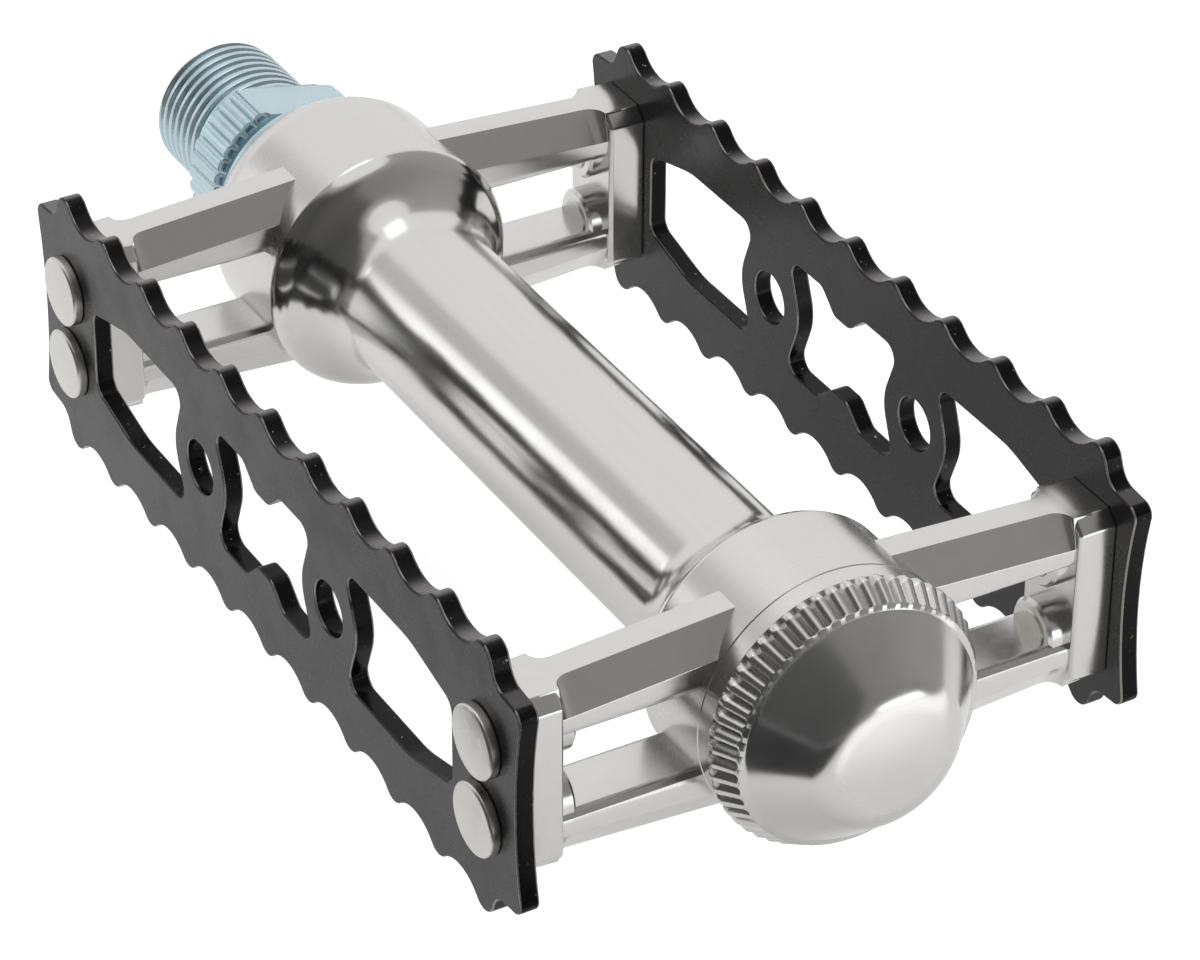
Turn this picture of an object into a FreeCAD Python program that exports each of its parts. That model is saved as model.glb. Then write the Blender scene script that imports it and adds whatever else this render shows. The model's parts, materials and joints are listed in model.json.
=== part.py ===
import FreeCAD, Part
import math
import os

import Sketcher

# Cage pedal: aluminium body, two toothed steel plates, loose-ball bearings on a steel spindle.
# Frame: origin on the spindle axis at the crank seat, +X outboard, +Y forward, +Z up, in mm.

DIMENSIONS = (
    ("thread_radius", "7.14", "crank thread, major radius"),
    ("thread_length", "12", "crank thread, from its end to the seat"),
    ("thread_chamfer", "0.8", "lead chamfer of the crank thread"),
    ("lathe_centre_radius", "1.6", "turning centre in the thread end, radius"),
    ("lathe_centre_depth", "2.8", "turning centre in the thread end, depth"),
    ("collar_radius", "9.27", "knurled wrench collar, radius"),
    ("collar_length", "6.05", "knurled wrench collar, length"),
    ("collar_chamfer", "0.5", "edge chamfer of the wrench collar"),
    ("collar_ridges", "36", "ridges round the wrench collar"),
    ("collar_groove_depth", "0.3", "depth of a groove between collar ridges"),
    ("collar_groove_width", "0.9", "width of a groove between collar ridges"),
    ("wrench_across", "15", "distance across the two wrench flats"),
    ("wrench_turn", "-12", "turn of the wrench flats about the spindle, degrees"),
    ("neck_radius", "7.3", "neck behind the wrench collar, radius"),
    ("neck_length", "2.15", "neck behind the wrench collar, length"),
    ("flange_radius", "9.85", "seal flange that closes the inboard boss, radius"),
    ("flange_proud", "2.3", "seal flange standing out of the inboard mouth"),
    ("inboard_ball_depth", "4.5", "inboard ball centres, from the body's inboard end"),
    ("outboard_ball_depth", "8.6", "outboard ball centres, from the body's outboard end"),
    ("ball_radius", "1.984", "bearing ball, radius"),
    ("ball_count", "11", "balls in one bearing"),
    ("ball_gap", "0.09", "gap between neighbouring balls"),
    ("race_clearance", "0.05", "gap between a ball and its races"),
    ("shaft_land", "5", "parallel length of the shaft beside the inboard race"),
    ("shaft_taper", "0.45", "loss of shaft radius from the inboard to the outboard end"),
    ("stud_radius", "4", "outboard thread, radius"),
    ("stud_chamfer", "0.5", "end chamfer of the outboard thread"),
    ("stud_proud", "1", "outboard thread standing past the lock nut"),
    ("stud_fit", "0.03", "gap between the outboard thread and what runs on it"),
    ("keyway_width", "1.6", "keyway along the outboard thread, width"),
    ("keyway_depth", "0.8", "keyway along the outboard thread, depth"),
    ("key_fit", "0.1", "gap between the washer tab and the keyway"),
    ("cone_nose", "1.7", "cone nose in front of the ball centres"),
    ("cone_gap", "0.8", "gap between the shaft shoulder and the cone"),
    ("cone_lip", "0.7", "cone rim standing outside the ball circle"),
    ("cone_rim", "0.9", "cone rim, thickness"),
    ("cone_hexagon", "2.8", "hexagon behind the cone rim, thickness"),
    ("washer_thickness", "1.2", "tabbed lock washer, thickness"),
    ("washer_radius", "6.3", "tabbed lock washer, outer radius"),
    ("nut_height", "4", "lock nut, height"),
    ("nut_across", "13", "lock nut and cone hexagon, across flats"),
    ("nut_chamfer", "0.7", "corner chamfer of the lock nut"),
    ("cup_wall", "1.1", "ball cup, wall outside the race"),
    ("cup_web", "1.6", "ball cup, web behind the race"),
    ("cup_bore_step", "1", "how far the cup web reaches inside the ball circle"),
    ("cup_fit", "0.02", "line fit of a cup in its seat"),
    ("flange_gap", "0.33", "gap between the seal flange and the inboard cup"),
    ("seal_gap", "0.55", "gap round the seal flange"),
    ("boss_wall", "2.35", "bearing boss, wall outside the cup"),
    ("boss_inboard_overhang", "9.5", "inboard end of the body, past the arm line"),
    ("boss_outboard_overhang", "5.9", "outboard end of the body, past the arm line"),
    ("boss_shoulder_inset", "5.2", "inner edge of each boss, from the arm line"),
    ("boss_nose_length", "2.6", "tapered nose at the inboard mouth, length"),
    ("boss_nose_drop", "0.75", "tapered nose at the inboard mouth, loss of radius"),
    ("turned_step", "0.12", "how far the turned bands lie below the bosses"),
    ("turned_inboard", "5.6", "turned band at the inboard mouth, length"),
    ("turned_outboard", "2", "turned band beside the dust cap, length"),
    ("dome_radius", "5", "rounded shoulder of a boss, radius"),
    ("dome_angle", "20", "slope at which the shoulder leaves the boss edge, degrees"),
    ("dome_fillet", "3", "fillet from the shoulder to the tube, radius"),
    ("tube_gap", "1.43", "gap between the shaft and the tube bore"),
    ("tube_wall", "1.5", "tube, wall"),
    ("arm_reach", "40.6", "arm and rivet line, from the middle of the cage plates"),
    ("rail_width", "7", "arm rail, width along the spindle"),
    ("rail_strip", "2.7", "narrow outer strip of an arm rail"),
    ("rail_tip_top", "8.7", "outer strip of a rail at the pads, from the spindle axis"),
    ("rail_rise", "1.9", "how much further out the strip's line lies over the spindle"),
    ("rail_chamfer", "2.9", "height of the chamfers beside the strip"),
    ("rail_window", "4", "half height of the window between two rails"),
    ("pad_width", "8", "riveting pad at the end of an arm, width"),
    ("pad_height", "17.8", "riveting pad at the end of an arm, height"),
    ("pad_chamfer", "1.3", "corner chamfer of a riveting pad"),
    ("pad_thickness", "3.8", "riveting pad at the end of an arm, thickness"),
    ("rivet_boss_length", "1.7", "bosses behind the pad, length"),
    ("rivet_boss_wall", "1", "bosses behind the pad, wall round the rivet"),
    ("rivet_radius", "2", "rivet shank, radius"),
    ("rivet_fit", "0.03", "gap between a rivet shank and its hole"),
    ("rivet_head_radius", "3.55", "rivet head, radius"),
    ("rivet_head_height", "1.25", "rivet head, height"),
    ("rivet_head_bevel", "0.4", "bevel round the rivet head"),
    ("rivet_head_gap", "0.9", "gap between the two heads of a pair"),
    ("cage_width", "62.2", "distance over the outer faces of the cage plates"),
    ("plate_thickness", "1.9", "cage plate, thickness"),
    ("plate_end_margin", "6.5", "plate end, past the rivet line"),
    ("tooth_count", "11", "teeth along one edge of a cage plate"),
    ("tooth_depth", "1.65", "tooth, depth"),
    ("tooth_tip_radius", "1.6", "tooth, tip radius"),
    ("tip_height", "12.8", "middle tooth, height over the spindle axis"),
    ("tip_rise", "0.98", "how much higher the end teeth stand than the middle one"),
    ("end_drop", "2.8", "how far the shelf at the plate end lies under the last tooth"),
    ("end_fillet", "2", "hollow between the last tooth and the shelf, radius"),
    ("end_flank", "68", "flank of the last tooth down to the shelf, degrees"),
    ("end_slope", "5", "slope of the shelf towards the plate end, degrees"),
    ("end_corner_radius", "1.2", "corner of the plate end"),
    ("end_hollow", "0.9", "how far the plate end is hollowed"),
    ("clip_hole_radius", "2.65", "accessory hole, radius"),
    ("clip_hole_spacing", "25.5", "accessory hole spacing"),
    ("clip_eye_radius", "5.15", "eye of metal round an accessory hole, radius"),
    ("clip_web_width", "6.4", "web above and below an accessory hole, width"),
    ("window_height", "12.2", "height of the plate windows"),
    ("window_corner", "1.4", "corner radius of the plate windows"),
    ("window_margin", "5.3", "outer end of the end windows, from the rivet line"),
    ("window_end_height", "8.4", "height of the end windows at their outer end"),
    ("window_taper", "7.5", "length over which the end windows narrow"),
    ("window_blend", "10", "rounding where the end windows start to narrow"),
    ("bump_height", "2.1", "bump on the middle window's edges, height"),
    ("bump_base", "7.2", "bump on the middle window's edges, width at its foot"),
    ("bump_top", "2.6", "bump on the middle window's edges, width at its top"),
    ("cap_step", "0.45", "dust cap bore, larger than the cup seat by"),
    ("cap_fit", "0.03", "gap between the dust cap skirt and its bore"),
    ("cap_skirt", "5.2", "dust cap skirt inside the boss, length"),
    ("cap_inside_gap", "1.4", "gap between the lock nut corners and the dust cap"),
    ("cap_band_length", "2.7", "knurled band of the dust cap, length"),
    ("cap_overhang", "0.4", "knurled band standing outside the boss"),
    ("cap_band_chamfer", "0.35", "inner edge chamfer of the knurled band"),
    ("cap_band_slope", "1.6", "sloping outer part of the knurled band, length"),
    ("cap_ridges", "54", "ridges round the knurled band"),
    ("cap_groove_depth", "0.8", "depth of a groove between band ridges"),
    ("cap_groove_width", "0.95", "width of a groove between band ridges"),
    ("cap_dome_step", "1.1", "dome starts inside the knurled band by"),
    ("cap_dome_length", "6.2", "dome, from the knurled band to its shoulder"),
    ("cap_shoulder_radius", "6.4", "dome shoulder, distance from the axis"),
    ("cap_shoulder_round", "3", "rounding of the dome shoulder"),
    ("cap_crown", "0.4", "height of the crown on the dome"),
    ("cap_wall", "1.7", "wall of the dome"),
    ("cut_margin", "1", "how far a cut runs past the metal it removes"),
)

# Angles in degrees, and the share of a size that counts as no difference
FULL_TURN = 360
HALF_TURN = 180
HEXAGON_HALF_ANGLE = 30
NO_DIFFERENCE = 0.001

document = FreeCAD.newDocument("cage_pedal")


class Size:
    """A number together with the sheet expression that gives it."""

    def __init__(self, value, text):
        self.value = value
        self.text = text

    def __add__(self, other):
        other = as_size(other)
        return Size(self.value + other.value, f"({self.text} + {other.text})")

    def __sub__(self, other):
        other = as_size(other)
        return Size(self.value - other.value, f"({self.text} - {other.text})")

    def __mul__(self, other):
        other = as_size(other)
        return Size(self.value * other.value, f"({self.text} * {other.text})")

    def __truediv__(self, other):
        other = as_size(other)
        return Size(self.value / other.value, f"({self.text} / {other.text})")

    def __neg__(self):
        return Size(-self.value, f"(-1 * {self.text})")


def as_size(number):
    return number if isinstance(number, Size) else Size(float(number), str(number))


def sine(angle):
    return Size(math.sin(math.radians(angle.value)), f"sin({angle.text})")


def cosine(angle):
    return Size(math.cos(math.radians(angle.value)), f"cos({angle.text})")


def square_root(size):
    return Size(math.sqrt(size.value), f"sqrt({size.text})")


class Sheet:
    """The driving dimensions, each cell read as a Size under its alias."""

    def __init__(self, rows):
        cells = document.addObject("Spreadsheet::Sheet", "Sizes")
        for row, (alias, number, meaning) in enumerate(rows, start=1):
            cells.set(f"A{row}", meaning)
            cells.set(f"B{row}", number)
            cells.setAlias(f"B{row}", alias)
        document.recompute()
        for alias, number, meaning in rows:
            setattr(self, alias, Size(float(cells.get(alias)), f"Sizes.{alias}"))


dim = Sheet(DIMENSIONS)

# Bearing sizes that follow from the balls
ball_circle = (dim.ball_radius + dim.ball_gap / 2) / sine(as_size(HALF_TURN) / dim.ball_count)
race_radius = dim.ball_radius + dim.race_clearance
shaft_radius = ball_circle - race_radius
cup_radius = ball_circle + race_radius + dim.cup_wall
cup_seat_radius = cup_radius + dim.cup_fit
cup_length_behind = race_radius + dim.cup_web
cup_lip = race_radius - dim.flange_gap
boss_radius = cup_seat_radius + dim.boss_wall
tube_bore = shaft_radius + dim.tube_gap
tube_radius = tube_bore + dim.tube_wall

# Stations along the spindle
flange_start = dim.collar_length + dim.neck_length
body_start = flange_start + dim.flange_proud
inboard_arm = body_start + dim.boss_inboard_overhang
plate_centre = inboard_arm + dim.arm_reach
outboard_arm = plate_centre + dim.arm_reach
body_end = outboard_arm + dim.boss_outboard_overhang
inboard_station = body_start + dim.inboard_ball_depth
outboard_station = body_end - dim.outboard_ball_depth
flange_face = inboard_station - race_radius
cone_start = outboard_station - dim.cone_nose
cone_back = outboard_station + race_radius + dim.cone_rim + dim.cone_hexagon
nut_start = cone_back + dim.washer_thickness
stud_end = nut_start + dim.nut_height + dim.stud_proud
shaft_end = cone_start - dim.cone_gap

# Sizes that the plates, the pads and the rivets share
pad_face = dim.cage_width / 2 - dim.plate_thickness
rivet_height = dim.rivet_head_radius + dim.rivet_head_gap / 2
rivet_hole_radius = dim.rivet_radius + dim.rivet_fit
stud_bore = dim.stud_radius + dim.stud_fit
hexagon_corner = dim.nut_across / (cosine(as_size(HEXAGON_HALF_ANGLE)) * 2)
cap_bore_radius = cup_seat_radius + dim.cap_step


def new_body(label):
    body = document.addObject("PartDesign::Body", label)
    body.Label = label
    body.AllowCompound = True
    return body


def origin_feature(body, role):
    return next(feature for feature in body.Origin.OriginFeatures if feature.Role == role)


def new_sketch(body, name, role, lift=None, turn=None):
    """A sketch on an origin plane, lifted along the plane's normal and turned about it."""
    sketch = body.newObject("Sketcher::SketchObject", name)
    sketch.AttachmentSupport = [(origin_feature(body, role), "")]
    sketch.MapMode = "FlatFace"
    if turn is not None:
        sketch.setExpression("AttachmentOffset.Rotation.Angle", turn.text)
    if lift is not None:
        sketch.setExpression("AttachmentOffset.Base.z", lift.text)
    return sketch


def bind(sketch, constraint, size):
    number = sketch.addConstraint(constraint)
    sketch.setExpression(f"Constraints[{number}]", size.text)


def arc_between(start, stop, radius):
    """The shorter arc from start to stop that turns to the left."""
    middle = (start + stop) / 2
    chord = stop - start
    rise = math.sqrt(max(radius**2 - (chord.Length / 2) ** 2, 0.0))
    left = FreeCAD.Vector(-chord.y, chord.x, 0).normalize()
    centre = middle + left * rise
    first = math.atan2(start.y - centre.y, start.x - centre.x)
    last = math.atan2(stop.y - centre.y, stop.x - centre.x)
    circle = Part.Circle(centre, FreeCAD.Vector(0, 0, 1), radius)
    return Part.ArcOfCircle(circle, first, last)


def draw_outline(sketch, corners, bends=None):
    """A closed outline through corners tied to the sheet.

    bends maps an edge's number to the radius of an arc, negative where it turns to the right.
    """
    bends = bends or {}
    corners = [(as_size(x), as_size(y)) for x, y in corners]
    places = [FreeCAD.Vector(x.value, y.value, 0) for x, y in corners]
    edges = []
    for index, start in enumerate(places):
        stop = places[(index + 1) % len(places)]
        bend = bends.get(index)
        if bend is None:
            edges.append((sketch.addGeometry(Part.LineSegment(start, stop)), 1, 2))
        elif bend.value > 0:
            edges.append((sketch.addGeometry(arc_between(start, stop, bend.value)), 1, 2))
        else:
            edges.append((sketch.addGeometry(arc_between(stop, start, -bend.value)), 2, 1))
    for index, (edge, first, last) in enumerate(edges):
        before, before_first, before_last = edges[index - 1]
        sketch.addConstraint(Sketcher.Constraint("Coincident", before, before_last, edge, first))
    for index, (edge, first, last) in enumerate(edges):
        x, y = corners[index]
        bind(sketch, Sketcher.Constraint("DistanceX", -1, 1, edge, first, x.value), x)
        bind(sketch, Sketcher.Constraint("DistanceY", -1, 1, edge, first, y.value), y)
        bend = bends.get(index)
        if bend is not None:
            radius = bend if bend.value > 0 else -bend
            bind(sketch, Sketcher.Constraint("Radius", edge, radius.value), radius)


def draw_circle(sketch, x, y, radius):
    x = as_size(x)
    y = as_size(y)
    centre = FreeCAD.Vector(x.value, y.value, 0)
    circle = sketch.addGeometry(Part.Circle(centre, FreeCAD.Vector(0, 0, 1), radius.value))
    bind(sketch, Sketcher.Constraint("Radius", circle, radius.value), radius)
    bind(sketch, Sketcher.Constraint("DistanceX", -1, 1, circle, 3, x.value), x)
    bind(sketch, Sketcher.Constraint("DistanceY", -1, 1, circle, 3, y.value), y)


def draw_hexagon(sketch, across):
    """A hexagon about the sketch origin with two flats level."""
    corner = across / (cosine(as_size(HEXAGON_HALF_ANGLE)) * 2)
    half = corner / 2
    flat = across / 2
    draw_outline(
        sketch,
        (
            (corner, 0),
            (half, flat),
            (-half, flat),
            (-corner, 0),
            (-half, -flat),
            (half, -flat),
        ),
    )


def draw_box(sketch, x, y, width, height):
    """A rectangle about the point x, y."""
    draw_outline(
        sketch,
        (
            (x - width / 2, y - height / 2),
            (x + width / 2, y - height / 2),
            (x + width / 2, y + height / 2),
            (x - width / 2, y + height / 2),
        ),
    )


def extrude(body, kind, name, sketch, length, midplane=False, reverse=False):
    feature = body.newObject(f"PartDesign::{kind}", name)
    feature.Profile = sketch
    feature.Midplane = midplane
    feature.Reversed = reverse
    feature.setExpression("Length", length.text)
    return feature


def revolve(body, kind, name, corners, bends=None):
    """Turn a profile of x and radius about the body's X axis."""
    sketch = new_sketch(body, f"{name}_profile", "XY_Plane")
    draw_outline(sketch, corners, bends)
    feature = body.newObject(f"PartDesign::{kind}", name)
    feature.Profile = sketch
    feature.ReferenceAxis = (sketch, ["H_Axis"])
    feature.Angle = FULL_TURN
    return feature


def place(body, x, y=0, half_turn=False):
    """Put a body at x, y, turned half round the Z axis where asked."""
    turn = FreeCAD.Rotation(FreeCAD.Vector(0, 0, 1), HALF_TURN if half_turn else 0)
    body.Placement = FreeCAD.Placement(FreeCAD.Vector(0, 0, 0), turn)
    body.setExpression("Placement.Base.x", as_size(x).text)
    body.setExpression("Placement.Base.y", as_size(y).text)


def cut_ridges(body, name, start, length, radius, depth, width, count):
    """Straight V grooves round a turned band, which leave the ridges of a knurl."""
    sketch = new_sketch(body, f"{name}_profile", "YZ_Plane", lift=start)
    draw_outline(
        sketch,
        (
            (0, radius - depth),
            (width, radius + depth),
            (-width, radius + depth),
        ),
    )
    groove = extrude(body, "Pocket", name, sketch, length, reverse=True)
    document.recompute()
    ring = body.newObject("PartDesign::PolarPattern", f"{name}_ring")
    ring.Originals = [groove]
    ring.Axis = (origin_feature(body, "X_Axis"), [""])
    ring.Angle = FULL_TURN
    ring.setExpression("Occurrences", count.text)
    body.Tip = ring
    document.recompute()


def make_spindle():
    body = new_body("spindle")
    neck_start = dim.collar_length
    land_end = inboard_station + dim.shaft_land
    thin_radius = shaft_radius - dim.shaft_taper
    corners = (
        (dim.lathe_centre_depth - dim.thread_length, 0),
        (-dim.thread_length, dim.lathe_centre_radius),
        (-dim.thread_length, dim.thread_radius - dim.thread_chamfer),
        (dim.thread_chamfer - dim.thread_length, dim.thread_radius),
        (0, dim.thread_radius),
        (0, dim.collar_radius - dim.collar_chamfer),
        (dim.collar_chamfer, dim.collar_radius),
        (neck_start - dim.collar_chamfer, dim.collar_radius),
        (neck_start, dim.collar_radius - dim.collar_chamfer),
        (neck_start, dim.neck_radius),
        (flange_start, dim.neck_radius),
        (flange_start, dim.flange_radius),
        (flange_face, dim.flange_radius),
        (flange_face, ball_circle),
        (inboard_station, shaft_radius),
        (land_end, shaft_radius),
        (shaft_end, thin_radius),
        (shaft_end, dim.stud_radius),
        (stud_end - dim.stud_chamfer, dim.stud_radius),
        (stud_end, dim.stud_radius - dim.stud_chamfer),
        (stud_end, 0),
    )
    race_edge = 13
    revolve(body, "Revolution", "turned_spindle", corners, {race_edge: race_radius})
    cut_ridges(
        body,
        "collar_groove",
        as_size(0),
        dim.collar_length,
        dim.collar_radius,
        dim.collar_groove_depth,
        dim.collar_groove_width / 2,
        dim.collar_ridges,
    )
    flats = new_sketch(body, "wrench_flats_profile", "YZ_Plane", turn=dim.wrench_turn)
    flat_height = dim.collar_radius
    flat_length = (dim.collar_radius + dim.cut_margin) * 2
    for side in (1, -1):
        middle = (dim.wrench_across / 2 + flat_height / 2) * side
        draw_box(flats, as_size(0), middle, flat_length, flat_height)
    extrude(body, "Pocket", "wrench_flats", flats, dim.collar_length, reverse=True)
    floor = dim.stud_radius - dim.keyway_depth
    keyway = new_sketch(body, "keyway_profile", "XY_Plane", lift=floor)
    keyway_middle = (cone_start + stud_end + dim.stud_proud) / 2
    keyway_length = stud_end + dim.stud_proud - cone_start
    draw_box(keyway, keyway_middle, as_size(0), keyway_length, dim.keyway_width)
    extrude(body, "Pocket", "keyway", keyway, dim.stud_radius, reverse=True)
    return body


def make_cup(label, station, half_turn):
    """A pressed cup whose race faces the spindle shoulder or the cone."""
    body = new_body(label)
    web_bore = ball_circle - dim.cup_bore_step
    corners = (
        (-cup_lip, ball_circle + race_radius),
        (-cup_lip, cup_radius),
        (cup_length_behind, cup_radius),
        (cup_length_behind, web_bore),
        (race_radius, web_bore),
        (race_radius, ball_circle),
        (0, ball_circle + race_radius),
    )
    race_edge = 5
    revolve(body, "Revolution", f"{label}_turned", corners, {race_edge: race_radius})
    place(body, station, half_turn=half_turn)
    return body


def make_balls(row, station):
    """One row of loose balls spread evenly round the spindle."""
    balls = []
    for number in range(1, round(dim.ball_count.value) + 1):
        ball = document.addObject("Part::Sphere", f"{row}_ball_{number:02d}")
        ball.Label = f"{row}_ball_{number:02d}"
        ball.setExpression("Radius", dim.ball_radius.text)
        angle = as_size(FULL_TURN) * number / dim.ball_count
        ball.setExpression("Placement.Base.x", station.text)
        ball.setExpression("Placement.Base.y", (ball_circle * cosine(angle)).text)
        ball.setExpression("Placement.Base.z", (ball_circle * sine(angle)).text)
        balls.append(ball)
    return balls


def make_cone():
    body = new_body("outboard_cone")
    rim_radius = ball_circle + dim.cone_lip
    rim_back = race_radius + dim.cone_rim
    corners = (
        (-dim.cone_nose, stud_bore),
        (rim_back, stud_bore),
        (rim_back, rim_radius),
        (race_radius, rim_radius),
        (race_radius, ball_circle),
        (0, shaft_radius),
        (-dim.cone_nose, shaft_radius),
    )
    race_edge = 4
    revolve(body, "Revolution", "cone_turned", corners, {race_edge: -race_radius})
    hexagon = new_sketch(body, "cone_hexagon_profile", "YZ_Plane", lift=rim_back)
    draw_hexagon(hexagon, dim.nut_across)
    draw_circle(hexagon, 0, 0, stud_bore)
    extrude(body, "Pad", "cone_hexagon", hexagon, dim.cone_hexagon)
    place(body, outboard_station)
    return body


def make_lock_washer():
    body = new_body("lock_washer")
    ring = new_sketch(body, "washer_profile", "YZ_Plane")
    draw_circle(ring, 0, 0, dim.washer_radius)
    draw_circle(ring, 0, 0, stud_bore)
    extrude(body, "Pad", "washer_ring", ring, dim.washer_thickness)
    tab = new_sketch(body, "washer_tab_profile", "YZ_Plane")
    tab_foot = dim.stud_radius - dim.keyway_depth + dim.key_fit
    tab_top = (stud_bore + dim.washer_radius) / 2
    tab_middle = (tab_foot + tab_top) / 2
    draw_box(tab, as_size(0), tab_middle, dim.keyway_width - dim.key_fit * 2, tab_top - tab_foot)
    extrude(body, "Pad", "washer_tab", tab, dim.washer_thickness)
    place(body, cone_back)
    return body


def make_lock_nut():
    body = new_body("lock_nut")
    hexagon = new_sketch(body, "nut_profile", "YZ_Plane")
    draw_hexagon(hexagon, dim.nut_across)
    draw_circle(hexagon, 0, 0, stud_bore)
    extrude(body, "Pad", "nut_hexagon", hexagon, dim.nut_height)
    document.recompute()
    corners = (
        (dim.nut_height - dim.nut_chamfer, hexagon_corner),
        (dim.nut_height, hexagon_corner - dim.nut_chamfer * 2),
        (dim.nut_height + dim.nut_chamfer, hexagon_corner - dim.nut_chamfer * 2),
        (dim.nut_height + dim.nut_chamfer, hexagon_corner + dim.nut_chamfer),
        (dim.nut_height - dim.nut_chamfer, hexagon_corner + dim.nut_chamfer),
    )
    revolve(body, "Groove", "nut_corners", corners)
    place(body, nut_start)
    return body


def shoulder_profile(edge, step):
    """Corners of a boss shoulder, from the boss edge down to the tube; step is 1 or -1 along X."""
    drop = boss_radius - tube_radius
    start_slope = cosine(dim.dome_angle)
    both_rounds = dim.dome_radius + dim.dome_fillet
    steep = (dim.dome_radius * start_slope + dim.dome_fillet - drop) / both_rounds
    steep_sine = square_root(as_size(1) - steep * steep)
    turn_x = dim.dome_radius * (steep_sine - sine(dim.dome_angle))
    turn_radius = boss_radius - dim.dome_radius * (start_slope - steep)
    foot_x = turn_x + dim.dome_fillet * steep_sine
    return (
        (edge, boss_radius),
        (edge + turn_x * step, turn_radius),
        (edge + foot_x * step, tube_radius),
    )


def make_rail(body, arm, side):
    """One chamfered arm rail, drawn in from the spindle to a riveting pad; side is 1 above, -1 below."""
    name = f"rail_{len(body.Group)}"
    sections = []
    for station, top in ((as_size(0), dim.rail_tip_top + dim.rail_rise), (pad_face, dim.rail_tip_top)):
        section = new_sketch(body, f"{name}_section_{len(sections)}", "XZ_Plane", lift=station)
        flank = top - dim.rail_chamfer
        draw_outline(
            section,
            (
                (arm - dim.rail_width / 2, dim.rail_window * side),
                (arm + dim.rail_width / 2, dim.rail_window * side),
                (arm + dim.rail_width / 2, flank * side),
                (arm + dim.rail_strip / 2, top * side),
                (arm - dim.rail_strip / 2, top * side),
                (arm - dim.rail_width / 2, flank * side),
            ),
        )
        sections.append(section)
    rail = body.newObject("PartDesign::AdditiveLoft", name)
    rail.Profile = sections[0]
    rail.Sections = sections[1:]
    rail.Ruled = True
    document.recompute()
    return rail


def draw_pad(sketch, arm):
    """A riveting pad's outline with its four corners cut off."""
    outline = []
    for way_x, way_z in ((-1, -1), (1, -1), (1, 1), (-1, 1)):
        side = arm + dim.pad_width / 2 * way_x
        end = dim.pad_height / 2 * way_z
        on_side = (side, end - dim.pad_chamfer * way_z)
        on_end = (side - dim.pad_chamfer * way_x, end)
        outline += [on_side, on_end] if way_x == way_z else [on_end, on_side]
    draw_outline(sketch, outline)


def make_pedal_body():
    body = new_body("pedal_body")
    inboard_edge = inboard_arm + dim.boss_shoulder_inset
    outboard_edge = outboard_arm - dim.boss_shoulder_inset
    turned_radius = boss_radius - dim.turned_step
    inboard_step = body_start + dim.turned_inboard
    outboard_step = body_end - dim.turned_outboard
    inboard_shoulder = shoulder_profile(inboard_edge, 1)
    outboard_shoulder = tuple(reversed(shoulder_profile(outboard_edge, -1)))
    nose = (
        (body_start, 0),
        (body_start, turned_radius - dim.boss_nose_drop),
        (body_start + dim.boss_nose_length, turned_radius),
        (inboard_step, turned_radius),
        (inboard_step, boss_radius),
    )
    tail = (
        (outboard_step, boss_radius),
        (outboard_step, turned_radius),
        (body_end, turned_radius),
        (body_end, 0),
    )
    first = len(nose)
    bends = {
        first: -dim.dome_radius,
        first + 1: dim.dome_fillet,
        first + 3: dim.dome_fillet,
        first + 4: -dim.dome_radius,
    }
    corners = nose + inboard_shoulder + outboard_shoulder + tail
    revolve(body, "Revolution", "tube_and_bosses", corners, bends)
    arm_lines = (inboard_arm, outboard_arm)
    rails = []
    for arm in arm_lines:
        rails.append(make_rail(body, arm, 1))
        rails.append(make_rail(body, arm, -1))

    pads = new_sketch(body, "pads_profile", "XZ_Plane", lift=pad_face)
    for arm in arm_lines:
        draw_pad(pads, arm)
    pad = extrude(body, "Pad", "pads", pads, dim.pad_thickness, reverse=True)

    stubs = new_sketch(body, "rivet_bosses_profile", "XZ_Plane", lift=pad_face)
    draw_rivet_circles(stubs, arm_lines, rivet_hole_radius + dim.rivet_boss_wall)
    grip = dim.pad_thickness + dim.rivet_boss_length
    stub = extrude(body, "Pad", "rivet_bosses", stubs, grip, reverse=True)
    document.recompute()
    far_side = body.newObject("PartDesign::Mirrored", "far_arms")
    far_side.Originals = rails + [pad, stub]
    far_side.MirrorPlane = (origin_feature(body, "XZ_Plane"), [""])
    body.Tip = far_side

    holes = new_sketch(body, "rivet_holes_profile", "XZ_Plane", lift=pad_face)
    draw_rivet_circles(holes, arm_lines, rivet_hole_radius)
    hole = extrude(body, "Pocket", "rivet_holes", holes, grip)
    document.recompute()
    far_holes = body.newObject("PartDesign::Mirrored", "far_rivet_holes")
    far_holes.Originals = [hole]
    far_holes.MirrorPlane = (origin_feature(body, "XZ_Plane"), [""])
    body.Tip = far_holes
    document.recompute()

    mouth_radius = dim.flange_radius + dim.seal_gap
    inboard_cup_start = inboard_station - cup_lip
    inboard_cup_end = inboard_station + cup_length_behind
    outboard_cup_start = outboard_station - cup_length_behind
    outboard_cup_end = outboard_station + cup_lip
    bore = (
        (body_start - dim.cut_margin, 0),
        (body_start - dim.cut_margin, mouth_radius),
        (inboard_cup_start, mouth_radius),
        (inboard_cup_start, cup_seat_radius),
        (inboard_cup_end, cup_seat_radius),
        (inboard_cup_end, tube_bore),
        (outboard_cup_start, tube_bore),
        (outboard_cup_start, cup_seat_radius),
        (outboard_cup_end, cup_seat_radius),
        (outboard_cup_end, cap_bore_radius),
        (body_end + dim.cut_margin, cap_bore_radius),
        (body_end + dim.cut_margin, 0),
    )
    revolve(body, "Groove", "bores", bore)
    return body


def draw_rivet_circles(sketch, arm_lines, radius):
    for arm in arm_lines:
        for side in (1, -1):
            draw_circle(sketch, arm, rivet_height * side, radius)


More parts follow.
